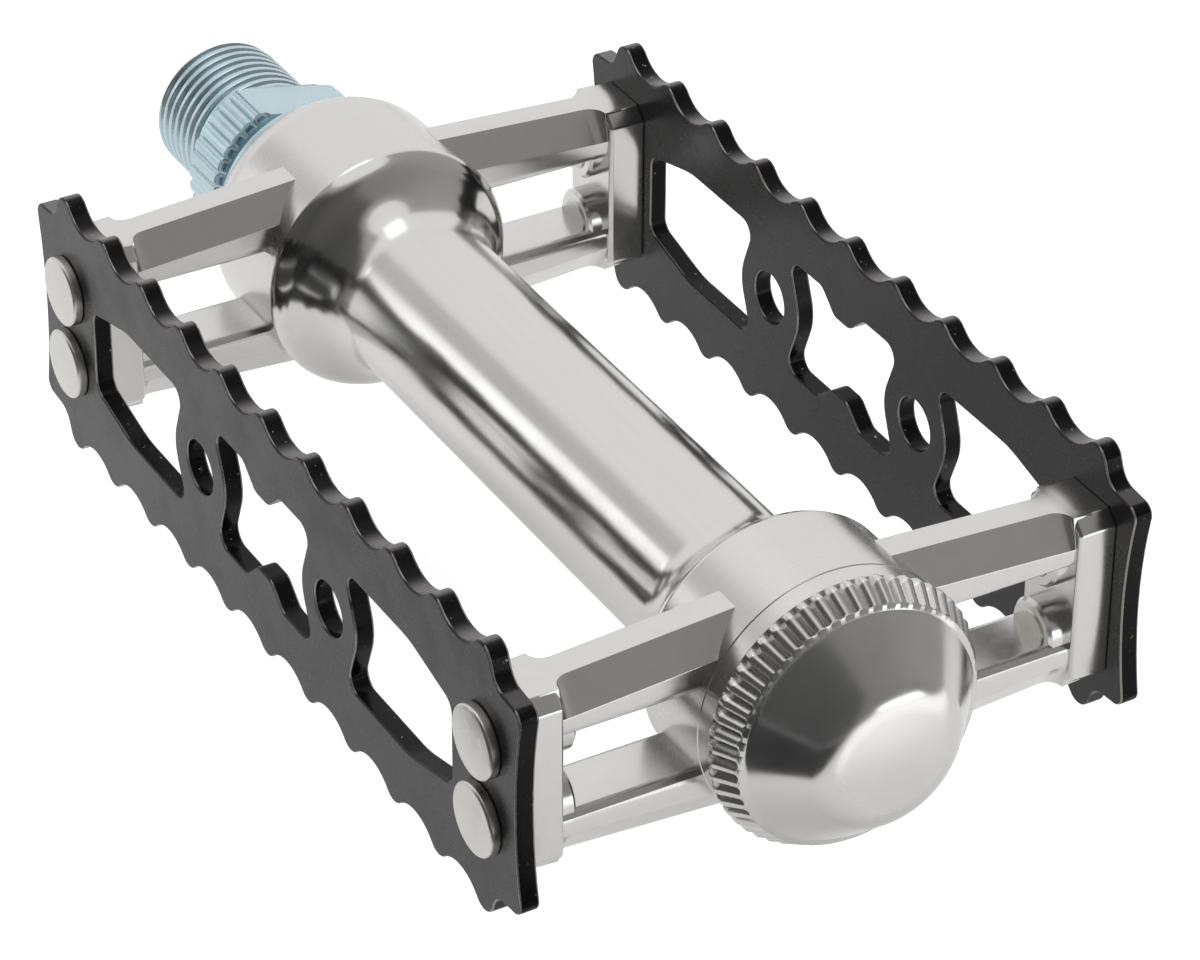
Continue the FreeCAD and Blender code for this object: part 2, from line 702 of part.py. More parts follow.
def make_rivets(label, side):
    """The four rivets of one cage plate; side is 1 for the front plate and -1 for the rear."""
    body = new_body(label)
    arm_lines = (-dim.arm_reach, dim.arm_reach)
    grip = dim.plate_thickness + dim.pad_thickness + dim.rivet_boss_length
    shanks = new_sketch(body, f"{label}_shanks", "XZ_Plane")
    draw_rivet_circles(shanks, arm_lines, dim.rivet_radius)
    extrude(body, "Pad", f"{label}_shank", shanks, grip, reverse=True)
    heads = new_sketch(body, f"{label}_heads", "XZ_Plane")
    draw_rivet_circles(heads, arm_lines, dim.rivet_head_radius)
    head = extrude(body, "Pad", f"{label}_head", heads, dim.rivet_head_height)
    document.recompute()
    rims = []
    for number, edge in enumerate(head.Shape.Edges, start=1):
        box = edge.BoundBox
        short_of_top = abs(box.YMin + dim.rivet_head_height.value)
        if max(short_of_top, box.YLength) < box.XLength * NO_DIFFERENCE:
            rims.append(f"Edge{number}")
    bevel = body.newObject("PartDesign::Chamfer", f"{label}_bevel")
    bevel.Base = (head, rims)
    bevel.setExpression("Size", dim.rivet_head_bevel.text)
    place(body, plate_centre, dim.cage_width / 2 * side, half_turn=side > 0)
    return body


def polar(centre, radius, angle):
    """The point at a radius from a centre, with the angle counted from straight down."""
    return (centre[0] + radius * math.sin(angle), centre[1] - radius * math.cos(angle))


def between(first, last, share):
    return tuple(a + (b - a) * share for a, b in zip(first, last))


def rounded(corners):
    """Lines and arcs of a closed outline whose corners are x, y and a rounding radius."""
    rounds = []
    for index, (x, y, radius) in enumerate(corners):
        here = FreeCAD.Vector(x, y, 0)
        before = FreeCAD.Vector(*corners[index - 1][:2], 0)
        after = FreeCAD.Vector(*corners[(index + 1) % len(corners)][:2], 0)
        to_before = (before - here).normalize()
        to_after = (after - here).normalize()
        half_angle = to_before.getAngle(to_after) / 2
        reach = radius / math.tan(half_angle)
        to_centre = (to_before + to_after).normalize()
        middle = here + to_centre * (radius / math.sin(half_angle) - radius)
        rounds.append((here + to_before * reach, middle, here + to_after * reach))
    pieces = []
    for index, (start, middle, stop) in enumerate(rounds):
        following = rounds[(index + 1) % len(rounds)][0]
        pieces.append(Part.Arc(start, middle, stop))
        pieces.append(Part.LineSegment(stop, following))
    return pieces


def dot(point, direction):
    return point[0] * direction[0] + point[1] * direction[1]


def along(point, direction, distance):
    return (point[0] + direction[0] * distance, point[1] + direction[1] * distance)


def toothed_quarter():
    """Points of one quarter of the plate's edge, from the middle tooth to the plate end.

    Each piece is two or three points: a line, or an arc through its middle point. The teeth
    alternate tip and valley arcs along a long hollow arc whose centre is far above the plate.
    The last tooth stands on the rivet line, and a steep flank leads from it down to a shelf.
    """
    last_tooth = (round(dim.tooth_count.value) - 1) // 2
    reach = dim.arm_reach.value
    rise = dim.tip_rise.value
    long_radius = (reach**2 + rise**2) / (2 * rise)
    far_centre = (0.0, dim.tip_height.value + long_radius)
    step = math.asin(reach / long_radius) / last_tooth
    tip = dim.tooth_tip_radius.value
    depth = dim.tooth_depth.value
    bow = 2 * (long_radius + tip) * (1 - math.cos(step / 2))
    valley = (depth**2 - 2 * depth * tip + bow * (long_radius + depth)) / (2 * depth + bow)
    pieces = []
    for tooth in range(last_tooth + 1):
        crest = polar(far_centre, long_radius, tooth * step)
        tip_centre = polar(far_centre, long_radius + tip, tooth * step)
        valley_before = polar(far_centre, long_radius + depth - valley, (tooth - 0.5) * step)
        valley_after = polar(far_centre, long_radius + depth - valley, (tooth + 0.5) * step)
        rising = between(tip_centre, valley_before, tip / (tip + valley))
        falling = between(tip_centre, valley_after, tip / (tip + valley))
        if tooth > 0:
            valley_start = pieces[-1][-1]
            bottom = polar(far_centre, long_radius + depth, (tooth - 0.5) * step)
            pieces.append((valley_start, bottom, rising))
            pieces.append((rising, crest, falling))
        else:
            half = math.atan2(falling[0] - tip_centre[0], falling[1] - tip_centre[1]) / 2
            shoulder = (tip_centre[0] + tip * math.sin(half), tip_centre[1] + tip * math.cos(half))
            pieces.append((crest, shoulder, falling))
    slope = math.radians(dim.end_slope.value)
    flank = math.radians(dim.end_flank.value)
    out_of_flank = (math.sin(flank), math.cos(flank))
    out_of_shelf = (math.sin(slope), math.cos(slope))
    shelf_foot = (crest[0], crest[1] - dim.end_drop.value)
    fillet = dim.end_fillet.value
    off_flank = tip + fillet + dot(tip_centre, out_of_flank)
    off_shelf = fillet + dot(shelf_foot, out_of_shelf)
    spread = math.sin(flank - slope)
    hollow_centre = (
        (off_flank * out_of_shelf[1] - off_shelf * out_of_flank[1]) / spread,
        (off_shelf * out_of_flank[0] - off_flank * out_of_shelf[0]) / spread,
    )
    half_way = (flank + slope) / 2
    flank_start = along(tip_centre, out_of_flank, tip)
    flank_end = along(hollow_centre, out_of_flank, -fillet)
    hollow_middle = along(hollow_centre, (math.sin(half_way), math.cos(half_way)), -fillet)
    hollow_end = along(hollow_centre, out_of_shelf, -fillet)
    pieces[-1] = (rising, crest, flank_start)
    pieces.append((flank_start, flank_end))
    pieces.append((flank_end, hollow_middle, hollow_end))
    end_x = (dim.arm_reach + dim.plate_end_margin).value
    corner_y = hollow_end[1] - (end_x - hollow_end[0]) * math.tan(slope)
    corner = dim.end_corner_radius.value
    corner_reach = corner * math.tan((math.pi / 2 - slope) / 2)
    corner_start = (end_x - corner_reach * math.cos(slope), corner_y + corner_reach * math.sin(slope))
    corner_stop = (end_x, corner_y - corner_reach)
    corner_middle = (
        end_x - corner + corner * math.cos((math.pi / 2 - slope) / 2),
        corner_stop[1] + corner * math.sin((math.pi / 2 - slope) / 2),
    )
    pieces.append((hollow_end, corner_start))
    pieces.append((corner_start, corner_middle, corner_stop))
    return pieces


def plate_outline():
    """The plate's edge: the toothed quarter mirrored both ways, and the two hollowed ends."""
    quarter = toothed_quarter()
    pieces = []
    for flip_x in (1, -1):
        for flip_y in (1, -1):
            for piece in quarter:
                points = [FreeCAD.Vector(x * flip_x, y * flip_y, 0) for x, y in piece]
                pieces.append(Part.Arc(*points) if len(points) == 3 else Part.LineSegment(*points))
        end_x, end_y = quarter[-1][-1]
        upper = FreeCAD.Vector(end_x * flip_x, end_y, 0)
        middle = FreeCAD.Vector((end_x - dim.end_hollow.value) * flip_x, 0, 0)
        lower = FreeCAD.Vector(end_x * flip_x, -end_y, 0)
        pieces.append(Part.Arc(upper, middle, lower))
    return pieces


def plate_windows():
    """The middle window with its two bumps, and the two end windows that narrow outwards."""
    top = dim.window_height.value / 2
    corner = dim.window_corner.value
    hole_x = dim.clip_hole_spacing.value / 2
    eye = dim.clip_eye_radius.value
    web = dim.clip_web_width.value / 2
    lean = math.atan2(top, web) - math.acos(eye / math.hypot(top, web))
    eye_corner = eye / math.cos(lean)
    foot = dim.bump_base.value / 2
    crown = dim.bump_top.value / 2
    crown_y = top - dim.bump_height.value
    middle = []
    for side in (1, -1):
        middle.append((-(hole_x - web) * side, top * side, corner))
        middle.append((-foot * side, top * side, corner))
        middle.append((-crown * side, crown_y * side, corner))
        middle.append((crown * side, crown_y * side, corner))
        middle.append((foot * side, top * side, corner))
        middle.append(((hole_x - web) * side, top * side, corner))
        middle.append(((hole_x - eye_corner) * side, 0, eye))
    pieces = rounded(middle)
    end_x = (dim.arm_reach - dim.window_margin).value
    end_y = dim.window_end_height.value / 2
    narrow_x = end_x - dim.window_taper.value
    for side in (1, -1):
        pieces += rounded(
            (
                ((hole_x + web) * side, top, corner),
                (narrow_x * side, top, dim.window_blend.value),
                (end_x * side, end_y, corner),
                (end_x * side, -end_y, corner),
                (narrow_x * side, -top, dim.window_blend.value),
                ((hole_x + web) * side, -top, corner),
                ((hole_x + eye_corner) * side, 0, eye),
            )
        )
    return pieces


def make_cage_plate(label, side):
    """A stamped plate; side is 1 for the front plate and -1 for the rear."""
    body = new_body(label)
    outline = new_sketch(body, f"{label}_outline", "XZ_Plane")
    outline.addGeometry(plate_outline())
    extrude(body, "Pad", f"{label}_blank", outline, dim.plate_thickness, midplane=True)
    windows = new_sketch(body, f"{label}_windows", "XZ_Plane")
    windows.addGeometry(plate_windows())
    extrude(body, "Pocket", f"{label}_window", windows, dim.plate_thickness * 2, midplane=True)
    holes = new_sketch(body, f"{label}_holes", "XZ_Plane")
    for way in (1, -1):
        draw_circle(holes, dim.clip_hole_spacing / 2 * way, 0, dim.clip_hole_radius)
    draw_rivet_circles(holes, (-dim.arm_reach, dim.arm_reach), rivet_hole_radius)
    extrude(body, "Pocket", f"{label}_hole", holes, dim.plate_thickness * 2, midplane=True)
    place(body, plate_centre, (pad_face + dim.plate_thickness / 2) * side)
    return body


def make_dust_cap():
    body = new_body("dust_cap")
    skirt_start = body_end - dim.cap_skirt
    skirt_radius = cap_bore_radius - dim.cap_fit
    inside_radius = hexagon_corner + dim.cap_inside_gap
    band_radius = boss_radius + dim.cap_overhang
    band_end = body_end + dim.cap_band_length
    shoulder = band_end + dim.cap_dome_length
    chamfer = dim.cap_band_chamfer
    inside_top = shoulder - dim.cap_wall
    corners = (
        (skirt_start, inside_radius),
        (skirt_start, skirt_radius),
        (body_end, skirt_radius),
        (body_end, band_radius - chamfer),
        (body_end + chamfer, band_radius),
        (band_end - dim.cap_band_slope, band_radius),
        (band_end, band_radius - dim.cap_dome_step),
        (shoulder, dim.cap_shoulder_radius),
        (shoulder + dim.cap_crown, 0),
        (inside_top, 0),
        (inside_top, dim.cap_shoulder_radius - dim.cap_wall),
        (body_end + dim.cap_band_length / 2, inside_radius),
    )
    turned = revolve(body, "Revolution", "cap_turned", corners)
    document.recompute()
    rims = []
    for number, edge in enumerate(turned.Shape.Edges, start=1):
        if not isinstance(edge.Curve, Part.Circle):
            continue
        off_station = abs(edge.Curve.Center.x - shoulder.value)
        off_radius = abs(edge.Curve.Radius - dim.cap_shoulder_radius.value)
        if max(off_station, off_radius) < edge.Curve.Radius * NO_DIFFERENCE:
            rims.append(f"Edge{number}")
    rounding = body.newObject("PartDesign::Fillet", "cap_shoulder_round")
    rounding.Base = (turned, rims)
    rounding.setExpression("Radius", dim.cap_shoulder_round.text)
    document.recompute()
    cut_ridges(
        body,
        "cap_groove",
        body_end,
        dim.cap_band_length,
        band_radius,
        dim.cap_groove_depth,
        dim.cap_groove_width / 2,
        dim.cap_ridges,
    )
    return body


nodes = [make_spindle()]
nodes.append(make_cup("inboard_cup", inboard_station, half_turn=False))
nodes.append(make_cup("outboard_cup", outboard_station, half_turn=True))
nodes += make_balls("inboard", inboard_station)
nodes += make_balls("outboard", outboard_station)
nodes.append(make_cone())
nodes.append(make_lock_washer())
nodes.append(make_lock_nut())
nodes.append(make_pedal_body())
nodes.append(make_cage_plate("front_cage_plate", 1))
nodes.append(make_cage_plate("rear_cage_plate", -1))
nodes.append(make_rivets("front_cage_rivets", 1))
nodes.append(make_rivets("rear_cage_rivets", -1))
nodes.append(make_dust_cap())
document.recompute()

for item in document.Objects:
    if "Invalid" in item.State or "Error" in item.State:
        raise RuntimeError(f"{item.Label} failed: {item.State}")
for node in nodes:
    if node.Shape.isNull() or not node.Shape.isValid():
        raise RuntimeError(f"{node.Label} has no valid shape")

os.makedirs("parts", exist_ok=True)
for node in nodes:
    node.Shape.exportStep(f"parts/{node.Label}.step")
    box = node.Shape.BoundBox
    print(
        f"{node.Label}: {len(node.Shape.Solids)} solid(s), {node.Shape.Volume:.2f} mm3,",
        f"x {box.XMin:.2f} to {box.XMax:.2f}, y {box.YMin:.2f} to {box.YMax:.2f},",
        f"z {box.ZMin:.2f} to {box.ZMax:.2f}",
    )
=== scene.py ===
import json
import math

import bmesh
import bpy
from bpy.props import FloatProperty, FloatVectorProperty, IntProperty, PointerProperty
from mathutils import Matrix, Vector

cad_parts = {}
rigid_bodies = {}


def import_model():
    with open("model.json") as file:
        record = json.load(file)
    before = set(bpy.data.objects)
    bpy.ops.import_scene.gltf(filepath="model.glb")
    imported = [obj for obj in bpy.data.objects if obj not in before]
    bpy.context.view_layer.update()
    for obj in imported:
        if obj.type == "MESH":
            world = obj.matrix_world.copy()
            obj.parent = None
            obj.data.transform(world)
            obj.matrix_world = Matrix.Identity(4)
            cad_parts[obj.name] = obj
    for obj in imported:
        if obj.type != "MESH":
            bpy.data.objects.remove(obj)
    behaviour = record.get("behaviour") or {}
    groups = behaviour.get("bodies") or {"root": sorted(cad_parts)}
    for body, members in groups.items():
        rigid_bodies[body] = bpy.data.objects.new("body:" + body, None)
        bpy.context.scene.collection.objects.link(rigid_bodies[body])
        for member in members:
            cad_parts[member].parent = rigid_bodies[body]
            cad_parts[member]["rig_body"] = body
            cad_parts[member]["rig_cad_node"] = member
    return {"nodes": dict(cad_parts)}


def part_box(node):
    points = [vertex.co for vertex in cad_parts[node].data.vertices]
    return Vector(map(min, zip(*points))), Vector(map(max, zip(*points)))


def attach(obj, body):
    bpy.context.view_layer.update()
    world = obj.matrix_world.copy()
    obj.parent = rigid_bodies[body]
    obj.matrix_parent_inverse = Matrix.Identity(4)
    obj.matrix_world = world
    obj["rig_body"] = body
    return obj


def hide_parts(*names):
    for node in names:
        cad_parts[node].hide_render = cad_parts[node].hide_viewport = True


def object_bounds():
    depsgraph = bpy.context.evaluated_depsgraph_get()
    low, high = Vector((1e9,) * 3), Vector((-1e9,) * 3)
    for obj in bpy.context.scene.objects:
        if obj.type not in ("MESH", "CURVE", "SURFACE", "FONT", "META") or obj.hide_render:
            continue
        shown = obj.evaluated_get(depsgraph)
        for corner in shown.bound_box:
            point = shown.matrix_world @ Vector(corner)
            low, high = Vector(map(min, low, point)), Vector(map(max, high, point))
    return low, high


bl_info = {
    "name": "Cage Pedal",
    "version": (1, 0, 0),
    "blender": (4, 5, 0),
    "location": "View3D > Sidebar > Pedal",
    "description": "Dresses a cage pedal: spindle, cast body, toothed plates, rivets and dust cap",
    "category": "Object",
}

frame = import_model()
CAD_BOX = [list(corner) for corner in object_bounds()]

MM = 0.001
TINY = 0.002 * MM
SPINDLE_AXIS = (1, 0, 0)
RIVET_AXIS = (0, 1, 0)
BOTH_WAYS = (1, -1)

# Body names in the frame
SPINDLE = "spindle"
PLATFORM = "platform"

# A face looks along an axis when its normal has this share of it
FACING = 0.9
# Fine and coarse divisions of turned pieces
FINE_TURN = 144
TURN = 96
THREAD_STEPS = 64
RIVET_TURN = 56
STUB_TURN = 30
FLARE_STEPS = 5

# Thread form: shares of the pitch, and of the depth below the crest
THREAD_FORM = ((0, 1), (0.22, 0.1), (0.32, 0), (0.58, 0), (0.68, 0.1), (0.9, 1), (1, 1))
# Groove forms: depth at equal steps from one groove to the next, as shares of the full depth
COLLAR_GROOVE = (1.0, 0.45, 0.08, 0.0, 0.0, 0.0, 0.08, 0.45)
CAP_GROOVE = (1.0, 0.72, 0.2, 0.04, 0.0, 0.04, 0.2, 0.72)
# Tapered nose of the body: distance past the mouth and drop below the nose, in mm
NOSE = ((0, 1.75), (0.1, 1.5), (0.4, 1.25), (1.6, 0.55), (2.8, 0.1), (3.6, 0), (5.6, 0))
# Bores of the body: depth below a mouth and radius from there on, in mm
INBOARD_BORE = ((-1, 10.4), (2.8, 10.36), (8.13, 6.6))
OUTBOARD_BORE = ((-1, 10.81), (6.9, 10.36), (12.23, 6.6))
# Rolled rim of the cap: distance past the band and height over the rim radius, in mm
GROOVED_RIM = -0.38
CAP_RIM = ((0.2, -0.22), (0, -0.02), (-0.07, 0.1), (-0.24, 0.48), (GROOVED_RIM, 0.6), (-0.55, 0.69))

# Middle of the studio, along the spindle
MIDDLE = 0.06
CARD_LEVEL = -0.0130
# Cards that polished metal shows: name, place, aim, size and glow
CARDS = (
    ("softbox_face", (-0.24, 0.0, 0.78), (MIDDLE, 0, 0), (0.3, 0.3), 2.2),
    ("floor_card", (0.297, -0.2, CARD_LEVEL), (0.297, -0.2, 1), (0.366, 0.352), 0.05),
    ("side_card", (0.07, -0.215, CARD_LEVEL), (0.07, -0.215, 1), (0.1, 0.32), 0.05),
    ("white_card", (0.295, 0.1, CARD_LEVEL), (0.295, 0.1, 1), (0.31, 0.22), 1.6),
    ("window_card", (0.67, 0.34, 0.055), (MIDDLE, 0, 0.055), (0.42, 0.12), 2.6),
    ("strip_card", (-0.51, -0.48, 0.23), (MIDDLE, 0, 0), (0.10, 0.24), 1.8),
)
# Lamps: name, place, size and power
LAMPS = (
    ("key_softbox", (-0.22, 0.1, 0.75), 0.7, 9.0),
    ("fill_softbox", (0.35, -0.65, 0.35), 0.6, 3.0),
)
# Screen round the camera's side: bearing in degrees and grey
SCREEN_GREYS = (
    (-112, 0.10),
    (-60, 0.08),
    (-30, 0.11),
    (-10, 0.13),
    (2, 0.27),
    (45, 0.32),
    (70, 0.38),
    (100, 0.42),
)
SCREEN_ENDS = (-126, 114)


def low(node, axis):
    """Lowest coordinate of a solid along one axis."""
    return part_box(node)[0][axis]


def high(node, axis):
    """Highest coordinate of a solid along one axis."""
    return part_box(node)[1][axis]


def length(name, description, default):
    """A length that a user may change, in metres."""
    return FloatProperty(
        name=name, description=description, default=default, unit="LENGTH", precision=5
    )


def count(name, description, default):
    """A number of like features that a user may change."""
    return IntProperty(name=name, description=description, default=default, min=3)


def colour(name, description, default):
    """A surface colour that a user may change."""
    return FloatVectorProperty(
        name=name, description=description, default=default, subtype="COLOR", min=0, max=1
    )


class SpindleSizes(bpy.types.PropertyGroup):
    thread_end: length("Thread end", "Free end of the crank thread", low("spindle", 0))
    thread_radius: length("Thread radius", "Crank thread, over its crests", 7.14 * MM)
    thread_pitch: length("Thread pitch", "Crank thread, crest to crest", 1.27 * MM)
    thread_depth: length("Thread depth", "Crank thread, crest to root", 0.52 * MM)
    thread_chamfer: length("Thread chamfer", "Free end of the crank thread", 0.9 * MM)
    centre_radius: length("Centre radius", "Centre hole in the free end", 1.6 * MM)
    centre_depth: length("Centre depth", "Centre hole in the free end", 2.8 * MM)
    collar_radius: length("Collar radius", "Knurled wrench collar", 9.27 * MM)
    collar_length: length("Collar length", "Knurled wrench collar", 6.05 * MM)
    collar_bevel: length("Collar bevel", "Ends of the wrench collar", 0.45 * MM)
    collar_ridges: count("Collar ridges", "Ridges round the wrench collar", 36)
    ridge_depth: length("Ridge depth", "Groove between collar ridges", 0.36 * MM)
    across_flats: length("Across flats", "Distance across the wrench flats", 15 * MM)
    flat_turn: FloatProperty(
        name="Flat turn",
        description="Turn of the wrench flats about the spindle",
        default=math.radians(-12),
        subtype="ANGLE",
    )
    neck_radius: length("Neck radius", "Neck behind the collar", 7.3 * MM)
    flange_start: length("Flange start", "Inboard face of the seal flange", 8.2 * MM)
    flange_radius: length("Flange radius", "Seal flange", 9.85 * MM)
    flange_rim: length("Flange rim", "Rounded edge of the seal flange", 0.35 * MM)
    flange_end: length("Flange end", "Inner face of the seal flange", 12.97 * MM)
    race_station: length("Race station", "Inboard ball centres", 15 * MM)
    race_radius: length("Race radius", "Circle of the inboard ball centres", 7.2 * MM)
    shaft_radius: length("Shaft radius", "Shaft inside the body", 5.17 * MM)
    shaft_taper: length("Shaft taper", "Shaft, thinner at its outboard end", 0.45 * MM)
    shaft_end: length("Shaft end", "Shoulder in front of the cone", 96 * MM)
    stud_radius: length("Stud radius", "Outboard thread", 4 * MM)
    stud_chamfer: length("Stud chamfer", "End of the outboard thread", 0.5 * MM)
    stud_end: length("Stud end", "End of the outboard thread", high("spindle", 0))


class BodySizes(bpy.types.PropertyGroup):
    start: length("Start", "Inboard mouth of the body", low("pedal_body", 0))
    end: length("End", "Outboard mouth of the body", high("pedal_body", 0))
    boss_radius: length("Boss radius", "Bearing bosses", high("pedal_body", 2))
    boss_step: length("Boss step", "Turned step at the ends of the body", 0.07 * MM)
    tube_radius: length("Tube radius", "Tube between the bosses", 8.1 * MM)
    inboard_arm: length("Inboard arm", "Station of the inboard arm", 20 * MM)
    outboard_arm: length("Outboard arm", "Station of the outboard arm", 101.2 * MM)
    shoulder_inset: length("Shoulder inset", "Boss edge, from the arm line", 5.2 * MM)
    dome_radius: length("Dome radius", "Rounded shoulder of a boss", 4.2 * MM)
    fillet_radius: length("Fillet radius", "Shoulder to tube", 7.5 * MM)
    rail_foot: length("Rail foot", "Start of a rail inside the boss", 5 * MM)
    rail_width: length("Rail width", "Arm rail along the spindle", 7 * MM)
    rail_strip: length("Rail strip", "Flat strip along a rail", 2.7 * MM)
    rail_top: length("Rail top", "Strip of a rail at the pads", 8.7 * MM)
    rail_rise: length("Rail rise", "Strip over the spindle, above the pads", 1.9 * MM)
    rail_chamfer: length("Rail chamfer", "Height of a rail chamfer", 2.9 * MM)
    rail_window: length("Rail window", "Half height between the rails", 4 * MM)
    pad_face: length("Pad face", "Plates' inner faces", high("pedal_body", 1))
    pad_width: length("Pad width", "Riveting pad along the spindle", 8 * MM)
    pad_height: length("Pad height", "Riveting pad", 17.8 * MM)
    pad_chamfer: length("Pad chamfer", "Corner of a riveting pad", 1.3 * MM)
    pad_bevel: length("Pad bevel", "Inner edge of a riveting pad", 0.4 * MM)
    pad_depth: length("Pad depth", "Riveting pad, thickness", 3.8 * MM)
    pad_flare: length("Pad flare", "Hollow where a rail meets its pad", 1.5 * MM)
    stub_radius: length("Stub radius", "Stub behind a pad for a rivet", 3.03 * MM)
    stub_reach: length("Stub reach", "Stub behind a pad, from the plate", 5.5 * MM)
    window_round: length("Window rounding", "Rail edges at the window", 1.0 * MM)
    edge_round: length("Edge rounding", "Cast edges of the arms", 0.25 * MM)


class CapSizes(bpy.types.PropertyGroup):
    skirt_start: length("Skirt start", "Inner end of the skirt", low("dust_cap", 0))
    skirt_radius: length("Skirt radius", "Screwed skirt", 10.78 * MM)
    skirt_bore: length("Skirt bore", "Inside of the screwed skirt", 8.9 * MM)
    hollow_depth: length("Hollow depth", "End of the skirt's bore under the band", 1.35 * MM)
    hollow_radius: length("Hollow radius", "Flat bottom of the hollow", 3.4 * MM)
    wall: length("Wall", "Metal between hollow and shoulder", 1.7 * MM)
    band_start: length("Band start", "Inner edge of the band", high("pedal_body", 0))
    band_length: length("Band length", "Knurled band", 3.45 * MM)
    band_radius: length("Band radius", "Knurled band", high("dust_cap", 2))
    band_slope: length("Band slope", "Sloping part of the band", 2.35 * MM)
    rim_radius: length("Rim radius", "Where the dome starts", 11.33 * MM)
    shoulder_radius: length("Shoulder radius", "Edge of the crown", 6.4 * MM)
    shoulder_round: length("Shoulder round", "Rounding into the crown", 4 * MM)
    crown_height: length("Crown height", "Crown over the shoulder", 0.4 * MM)
    top: length("Top", "Outboard end of the crown", high("dust_cap", 0))
    ridges: count("Ridges", "Ridges round the band", 54)
    ridge_depth: length("Ridge depth", "Groove between band ridges", 0.62 * MM)
    rim_groove: length("Rim groove", "Grooves where they run out on the rim", 0.12 * MM)


class PlateSizes(bpy.types.PropertyGroup):
    edge_round: length("Edge rounding", "Rounded edges of the plates", 0.28 * MM)
    head_radius: length("Head radius", "Rivet head", 3.4 * MM)
    head_height: length("Head height", "Rivet head over the plate", 1.25 * MM)
    head_rim: length("Head rim", "Rolled rim of a rivet head", 0.3 * MM)
    head_crown: length("Head crown", "Rise of a rivet head over its rim", 0.22 * MM)
    shank_radius: length("Shank radius", "Rivet shank", 2 * MM)
    rivet_height: length("Rivet height", "Rivets above and below the axis", 4 * MM)


class PedalFinishes(bpy.types.PropertyGroup):
    zinc: colour("Zinc", "Blue zinc on the spindle", (0.50, 0.63, 0.68))
    aluminium: colour("Aluminium", "Satin body", (0.65, 0.637, 0.622))
    cap: colour("Cap", "Polished dust cap", (0.62, 0.61, 0.60))
    black: colour("Black", "Coating of the cage plates", (0.006, 0.0055, 0.0058))
    # Bare steel: specks on the cut edges, and on the plates' rounded +X edges partly wear, partly
    # painted highlight
    bare_edge: colour("Bare edge", "Steel where the coating is worn", (0.25, 0.235, 0.22))
    rivet: colour("Rivet", "Plated rivets", (0.66, 0.645, 0.615))
    bearing: colour("Bearing", "Hardened bearing steel", (0.62, 0.61, 0.60))


class StudioSettings(bpy.types.PropertyGroup):
    camera_place: FloatVectorProperty(
        name="Camera place",
        description="Where the camera stands",
        default=(0.38734, -0.18481, 0.24535),
        subtype="TRANSLATION",
        precision=5,
    )
    camera_turn: FloatVectorProperty(
        name="Camera turn",
        description="How the camera is turned",
        default=tuple(math.radians(angle) for angle in (56.403, -0.334, 60.283)),
        subtype="EULER",
        precision=5,
    )
    lens: FloatProperty(
        name="Lens", description="Focal length in millimetres", default=147.46
    )
    floor_gap: length("Floor gap", "Room under the teeth for the turning cage", 18.8 * MM)


def start_clean():
    """Leave edit mode and drop whatever is selected."""
    if bpy.context.object and bpy.context.object.mode != "OBJECT":
        bpy.ops.object.mode_set(mode="OBJECT")
    bpy.ops.object.select_all(action="DESELECT")


def pick(piece, *others):
    """Select some pieces, the first one active."""
    start_clean()
    for item in (piece, *others):
        item.select_set(True)
    bpy.context.view_layer.objects.active = piece


def open_up(piece):
    """Open a piece for modelling, with all of it selected."""
    pick(piece)
    bpy.ops.object.mode_set(mode="EDIT")
    bpy.ops.mesh.select_all(action="SELECT")


def leave():
    """Close the piece that is being modelled."""
    bpy.ops.object.mode_set(mode="OBJECT")


def choose(piece, kind, test):
    """In edit mode, select the verts, edges or faces that pass a test."""
    bpy.ops.mesh.select_mode(type=kind.upper())
    bpy.ops.mesh.select_all(action="DESELECT")
    mesh = bmesh.from_edit_mesh(piece.data)
    items = {"vert": mesh.verts, "edge": mesh.edges, "face": mesh.faces}[kind]
    found = [item for item in items if test(item)]
    if not found:
        raise RuntimeError(f"No {kind} to work on in {piece.name}")
    for item in found:
        item.select_set(True)
    mesh.select_flush_mode()
    bmesh.update_edit_mesh(piece.data)


def choose_end(piece, side):
    """Select the end face of a bar that points across to one side."""
    choose(piece, "face", lambda face: face.normal.y * side > FACING)


def draw_out(step):
    """Extrude the selected faces by a step."""
    bpy.ops.mesh.extrude_region_move(TRANSFORM_OT_translate={"value": step})


def widen(station, share):
    """Scale the selection along the spindle about a station."""
    bpy.ops.transform.resize(value=(share, 1, 1), center_override=(station, 0, 0))


def shrink_round(share):
    """Scale the selection about the spindle axis."""
    bpy.ops.transform.resize(value=(1, share, share), center_override=(0, 0, 0))


def place_now(piece):
    """Put a piece's place into its mesh and its object at the origin."""
    pick(piece)
    bpy.ops.object.transform_apply(location=True, rotation=True, scale=True)


def close_up():
    """Merge doubles and point the faces outwards."""
    bpy.ops.mesh.select_all(action="SELECT")
    bpy.ops.mesh.remove_doubles(threshold=TINY)
    bpy.ops.mesh.normals_make_consistent(inside=False)


def add_block(name, place, size):
    """Add a block at its place and open it for modelling."""
    start_clean()
    bpy.ops.mesh.primitive_cube_add(size=1, location=place, scale=size)
    block = bpy.context.object
    block.name = name
    place_now(block)
    open_up(block)
    return block


def draw_line(name, points):
    """Draw a chain of edges through some points and leave it open for modelling."""
    start_clean()
    bpy.ops.mesh.primitive_plane_add(size=MM)
    line = bpy.context.object
    line.name = name
    open_up(line)
    bpy.ops.mesh.select_mode(type="VERT")
    bpy.ops.mesh.merge(type="CENTER")
    bpy.ops.transform.translate(value=points[0])
    for last, point in zip(points, points[1:]):
        bpy.ops.mesh.extrude_vertices_move(TRANSFORM_OT_translate={"value": point - last})
    return line


